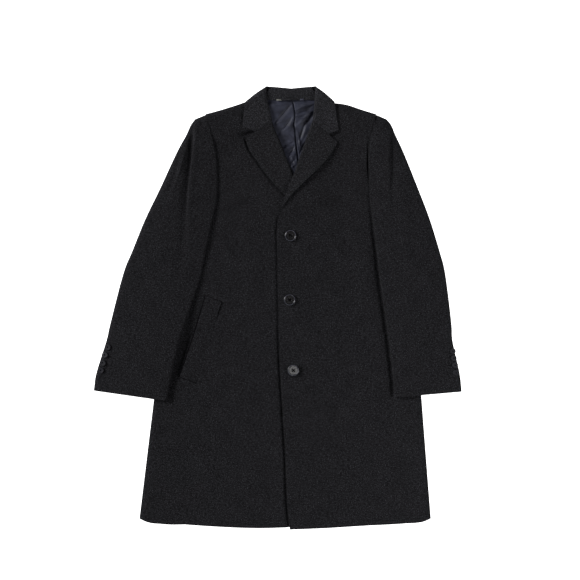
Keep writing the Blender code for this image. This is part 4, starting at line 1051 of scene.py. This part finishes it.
# %% Pocket welt
outer_top, inner_top, inner_foot, outer_foot = WELT
bowed = Point((outer_top.x + outer_foot.x) / 2 + WELT_BOW, (outer_top.y + outer_foot.y) / 2 + WELT_BOW / 3)
t, v = close_ends(36, 0.01), close_ends(150, 0.002)
plan = patch([outer_foot, inner_foot], [outer_top, inner_top], [outer_foot, bowed, outer_top],
             [inner_foot, inner_top], t, v)
t, v = np.meshgrid(t, v)
gape = WELT_GAPE * (1 - smooth(t / 0.6)) * np.sin(math.pi * v)
sewn = smooth((t - 0.5) / 0.5) * smooth((0.97 - v) / 0.25)
thick = WELT_CLOTH * (1 - 0.85 * sewn)
height = front_height(plan) + LAP * (1 - 0.6 * sewn) + thick + gape
wall("pocket_welt_right_cloth", raised(plan, height), thick[..., None], body_wool,
     "pocket_welt_right", bulge=(0.3, 0.05, 0.3, 0.4))

# %% Mouth of the pocket and the ends of the welt: painted shadow threads
def sunk_shadow_thread(rows, radius, steps=24):
    """A tube along a line of the front, half a millimetre above its crown, for a dark painted shadow line.
    """
    way = line(rows, np.linspace(0, 1, steps))
    return tube(raised(way, front_height(way) + 0.5), radius)


# Dark threads sunk along the welt's ends and the pocket's mouth: painted shadow in slits too narrow for the
# grid
corner = Point(inner_top.x + 1.1, inner_top.y + 0.6)
start = Point(outer_top.x - 1.2, outer_top.y + 0.8)
top_shadow_thread = sunk_shadow_thread([start, corner], 0.7)
end_shadow_thread = sunk_shadow_thread([corner, Point(corner.x - 9, corner.y - 28)], 0.6)
foot_shadow_thread = sunk_shadow_thread([Point(outer_foot.x, outer_foot.y - 1.0),
                         Point(inner_foot.x, inner_foot.y - 1.0)], 0.9)
mouth = sunk_shadow_thread([start, Point(bowed.x - 1.6, bowed.y),
                     Point(outer_foot.x - 1.4, outer_foot.y)], 1.0, steps=80)
# All four are one object of dark thread: painted shadow lines
seams = put_mesh("welt_shadow_threads", *joined([top_shadow_thread, end_shadow_thread, foot_shadow_thread, mouth]), dark_thread)
print("welt seams:", len(seams.data.polygons), "faces")

# %% [markdown]
# The buttons.
# A four-hole button is turned: its profile, a rounded rim round a shallow dish, is carried
# round an axis. The holes are part of the same height function, as four narrow pits, which
# keeps the mesh in one piece. The thread crosses between them.

# %% Turned buttons
FRONT_BUTTON, FRONT_BUTTON_THICK = 27.0, 4.0
CUFF_BUTTON, CUFF_BUTTON_THICK = 14.5, 3.0
FRONT_BUTTONS = points((29.3, 165.5), (27.3, 18.1), (36, -143.2))
LAST_BUTTON_TILT = 6.0
CUFF_BUTTONS_RIGHT = points((-389.5, -90.5), (-395.5, -108), (-400.5, -126), (-405, -143.4))
CUFF_BUTTONS_LEFT = points((401, -99.5), (403.5, -116.5), (406.4, -132.4), (408.5, -149.4))
Ring = namedtuple("Ring", "radius height")
BUTTON_RINGS = [Ring(0.0, 0.0), Ring(0.62, 0.0), Ring(0.94, 0.28), Ring(1.0, 0.58), Ring(0.95, 0.90),
                Ring(0.89, 1.0), Ring(0.82, 0.96), Ring(0.76, 0.83), Ring(0.0, 0.81)]
BUTTON_FOOT = 0.31      # radius of the flat underside, as a share of the diameter
HOLE_SPREAD, HOLE_SIZE, HOLE_DEPTH = 0.21, 0.095, 0.6
# Width of the band on the rim's crest where the horn is painted lighter or darker as light or shade
PAINTED_RIM_WIDTH = 0.09


def turned_button(radius, thick, sides, rings):
    """Profile as a smooth curve through the rings, turned, with a pit at each of the four holes, and
    how near each point is to the rim's crest, where the horn's rim tone is painted."""
    profile = np.array(BUTTON_RINGS, float)
    knots = np.concatenate([[0], np.cumsum(np.hypot(*np.diff(profile, axis=0).T))])
    ways = np.concatenate([np.linspace(0, knots[1], 4)[:-1], np.linspace(knots[1], knots[7], rings),
                           np.linspace(knots[7], knots[8], 26)[1:]])
    r = np.clip(np.interp(ways, knots, profile[:, 0]), 0.002, 1)
    h = np.interp(ways, knots, profile[:, 1])
    curve = hermite(profile[1:8], knots[1:8], np.clip(ways, knots[1], knots[7]))
    rim = (ways > knots[1]) & (ways < knots[7])
    r, h = np.where(rim, np.minimum(curve[:, 0], 1), r), np.where(rim, curve[:, 1], h)
    angle = np.linspace(0, 2 * math.pi, sides, endpoint=False)
    x, y = r[:, None] * np.cos(angle), r[:, None] * np.sin(angle)
    z = np.broadcast_to(h[:, None], x.shape).copy()
    for turn in range(4):
        a = math.pi / 4 + turn * math.pi / 2
        gap = np.hypot(x - HOLE_SPREAD * math.cos(a), y - HOLE_SPREAD * math.sin(a))
        pit = HOLE_DEPTH * (1 - smooth((gap / HOLE_SIZE - 0.72) / 0.4))
        z = np.where((ways > knots[7])[:, None], z - pit, z)
    verts = np.stack([x * radius, y * radius, z * thick], -1).reshape(-1, 3)
    wear_and_painted_light = np.repeat(np.exp(-((ways - knots[5]) / PAINTED_RIM_WIDTH) ** 2), sides)
    index = np.arange(len(verts)).reshape(len(ways), sides)
    faces = np.stack([index[:-1], np.roll(index[:-1], -1, 1), np.roll(index[1:], -1, 1), index[1:]], -1)
    return verts, faces.reshape(-1, 4).tolist() + [index[0, ::-1].tolist(), index[-1].tolist()], wear_and_painted_light


def seated(verts, place, normal):
    """Points turned from +Z to the normal and set down at their place."""
    turn = Vector((0, 0, 1)).rotation_difference(Vector(normal)).to_matrix()
    return verts @ np.array(turn).T + place


def button_thread(radius, thick):
    """Two strands, each a low arch from one hole to the opposite one."""
    t = np.linspace(-1, 1, 13)
    arch = thick * (0.80 + 0.13 * np.sqrt(np.clip(1 - t ** 2, 0, 1))) - 0.25 * thick * (np.abs(t) > 0.95)
    spread = HOLE_SPREAD * radius * t * math.cos(math.pi / 4)
    return [tube(np.stack([spread, spread * way, arch + lift], -1), radius * 0.055)
            for way, lift in ((1, 0.0), (-1, radius * 0.05))]


# %% Front buttons
def surface_normal(height, spot, step):
    """Slopes from four heights around a spot."""
    around = np.array([[spot.x - step, spot.y], [spot.x + step, spot.y], [spot.x, spot.y - step],
                       [spot.x, spot.y + step]])
    z = height(around)
    normal = np.array([(z[0] - z[1]) / (2 * step), (z[2] - z[3]) / (2 * step), 1.0])
    return normal / np.linalg.norm(normal)


def sew_button(node, place, normal, diameter, thick, horn, sides, rings):
    """A turned button and its crossed thread, seated on the cloth."""
    verts, faces, wear_and_painted_light = turned_button(diameter / 2, thick, sides, rings)
    piece = put_mesh(node + "_turned", seated(verts, place, normal), faces, horn, rim=wear_and_painted_light)
    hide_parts(node)
    verts, faces = joined(button_thread(diameter / 2, thick))
    cross = put_mesh(node + "_thread", seated(verts, place, normal), faces, dark_thread)


for number, spot in enumerate(FRONT_BUTTONS, 1):
    normal = surface_normal(top_front_height, spot, FRONT_BUTTON / 3)
    height = top_front_height(np.array([[spot.x, spot.y]]))[0]
    place = np.array([spot.x, spot.y, height]) + normal * (SEAM + LAP)
    if number == len(FRONT_BUTTONS):
        lean = math.sin(math.radians(LAST_BUTTON_TILT))
        last_normal = (normal - (lean, 0, 0)) / np.linalg.norm(normal - (lean, 0, 0))
        normal, place = last_normal, place + normal * lean * FRONT_BUTTON * BUTTON_FOOT
        last_place = place
    sew_button(f"front_button_{number}", place, normal, FRONT_BUTTON, FRONT_BUTTON_THICK, polished_horn,
               sides=64, rings=26)
print("front buttons:", len(FRONT_BUTTONS), "last one tilted by", LAST_BUTTON_TILT, "degrees")

# %% Cuff buttons
for name, rows, side, spots in (("right", SLEEVE_RIGHT, 1, CUFF_BUTTONS_RIGHT),
                                ("left", SLEEVE_LEFT, -1, CUFF_BUTTONS_LEFT)):
    ring = sleeve_ring(rows, side, np.linspace(0, 4, 161), roll_steps=24, top_steps=80)
    normals = grid_normals(ring) * side
    for number, spot in enumerate(spots, 1):
        gap = np.where(normals[..., 2] > 0.2, np.hypot(ring[..., 0] - spot.x, ring[..., 1] - spot.y), 1e9)
        place = np.unravel_index(np.argmin(gap), gap.shape)
        sew_button(f"cuff_button_{name}_{number}", ring[place] + normals[place] * SEAM, normals[place],
                   CUFF_BUTTON, CUFF_BUTTON_THICK, matt_horn, sides=48, rings=18)
print("cuff buttons:", len(CUFF_BUTTONS_RIGHT), "and", len(CUFF_BUTTONS_LEFT))

# %% [markdown]
# The table, the light and the camera.
# The coat was photographed from straight above on white, in soft light from its upper left.
# The floor glows a little, so that it stays white beside such dark cloth. A large soft box at
# the upper left gives the shadows under the lapels and sleeves, and a weak one at the lower
# right and a faint sky fill them in. A small lamp above is mirrored in the lowest button.

# %% Floor and sky
TABLE_HALF, TABLE_DROP, SKY = 6.0, 0.0004, 0.06
floor_white, _, shader = finish("white_table", Roughness=0.9, Emission_Strength=1.5)
shader.inputs["Base Color"].default_value = linear("#e6e6e6")
shader.inputs["Emission Color"].default_value = linear("#ffffff")
mesh = bpy.data.meshes.new("table")
corners = [(x * TABLE_HALF, y * TABLE_HALF, -TABLE_DROP) for x, y in ((-1, -1), (1, -1), (1, 1), (-1, 1))]
mesh.from_pydata(corners, [], [(0, 1, 2, 3)])
mesh.materials.append(floor_white)
table = bpy.data.objects.new("table", mesh)
bpy.context.scene.collection.objects.link(table)

world = bpy.data.worlds.new("studio")
world.use_nodes = True
world.node_tree.nodes["Background"].inputs["Color"].default_value = (1, 1, 1, 1)
world.node_tree.nodes["Background"].inputs["Strength"].default_value = SKY
bpy.context.scene.world = world
print("table:", 2 * TABLE_HALF, "m square")


# %% Lamps and camera
def lamp(name, place, target, size, power):
    """A square area lamp at a place, aimed at a target."""
    light = bpy.data.lights.new(name, "AREA")
    light.shape, light.size, light.energy = "SQUARE", size, power
    thing = bpy.data.objects.new(name, light)
    thing.location = place
    thing.rotation_euler = (Vector(target) - Vector(place)).to_track_quat("-Z", "Y").to_euler()
    bpy.context.scene.collection.objects.link(thing)


MIDDLE = (0.02, 0.0, 0.0)
lamp("soft_box_left", (-8.8, 3.2, 4.6), MIDDLE, size=3.2, power=1560)
lamp("soft_box_right", (1.9, -0.6, 1.2), MIDDLE, size=1.0, power=36)
DISTANCE, FRAME_WIDTH, SENSOR, COAT_TOP = 3.2, 1.330, 36.0, 0.014
camera = bpy.data.cameras.new("camera")
camera.sensor_width = SENSOR
camera.lens = SENSOR * (DISTANCE - COAT_TOP) / FRAME_WIDTH
eye = bpy.data.objects.new("camera", camera)
eye.location = (0.0282, 0.0408, DISTANCE)
bpy.context.scene.collection.objects.link(eye)
bpy.context.scene.camera = eye
bpy.context.scene.view_settings.view_transform = "Standard"

# The lowest button's face mirrors a small lamp beside the camera
to_eye = np.array(eye.location) - last_place * MM
to_eye /= np.linalg.norm(to_eye)
mirrored = 2 * (to_eye @ last_normal) * last_normal - to_eye
lamp("ceiling_lamp", last_place * MM + mirrored * 3.0, last_place * MM, size=0.4, power=8.0)
print("lens:", round(camera.lens, 2), "mm")
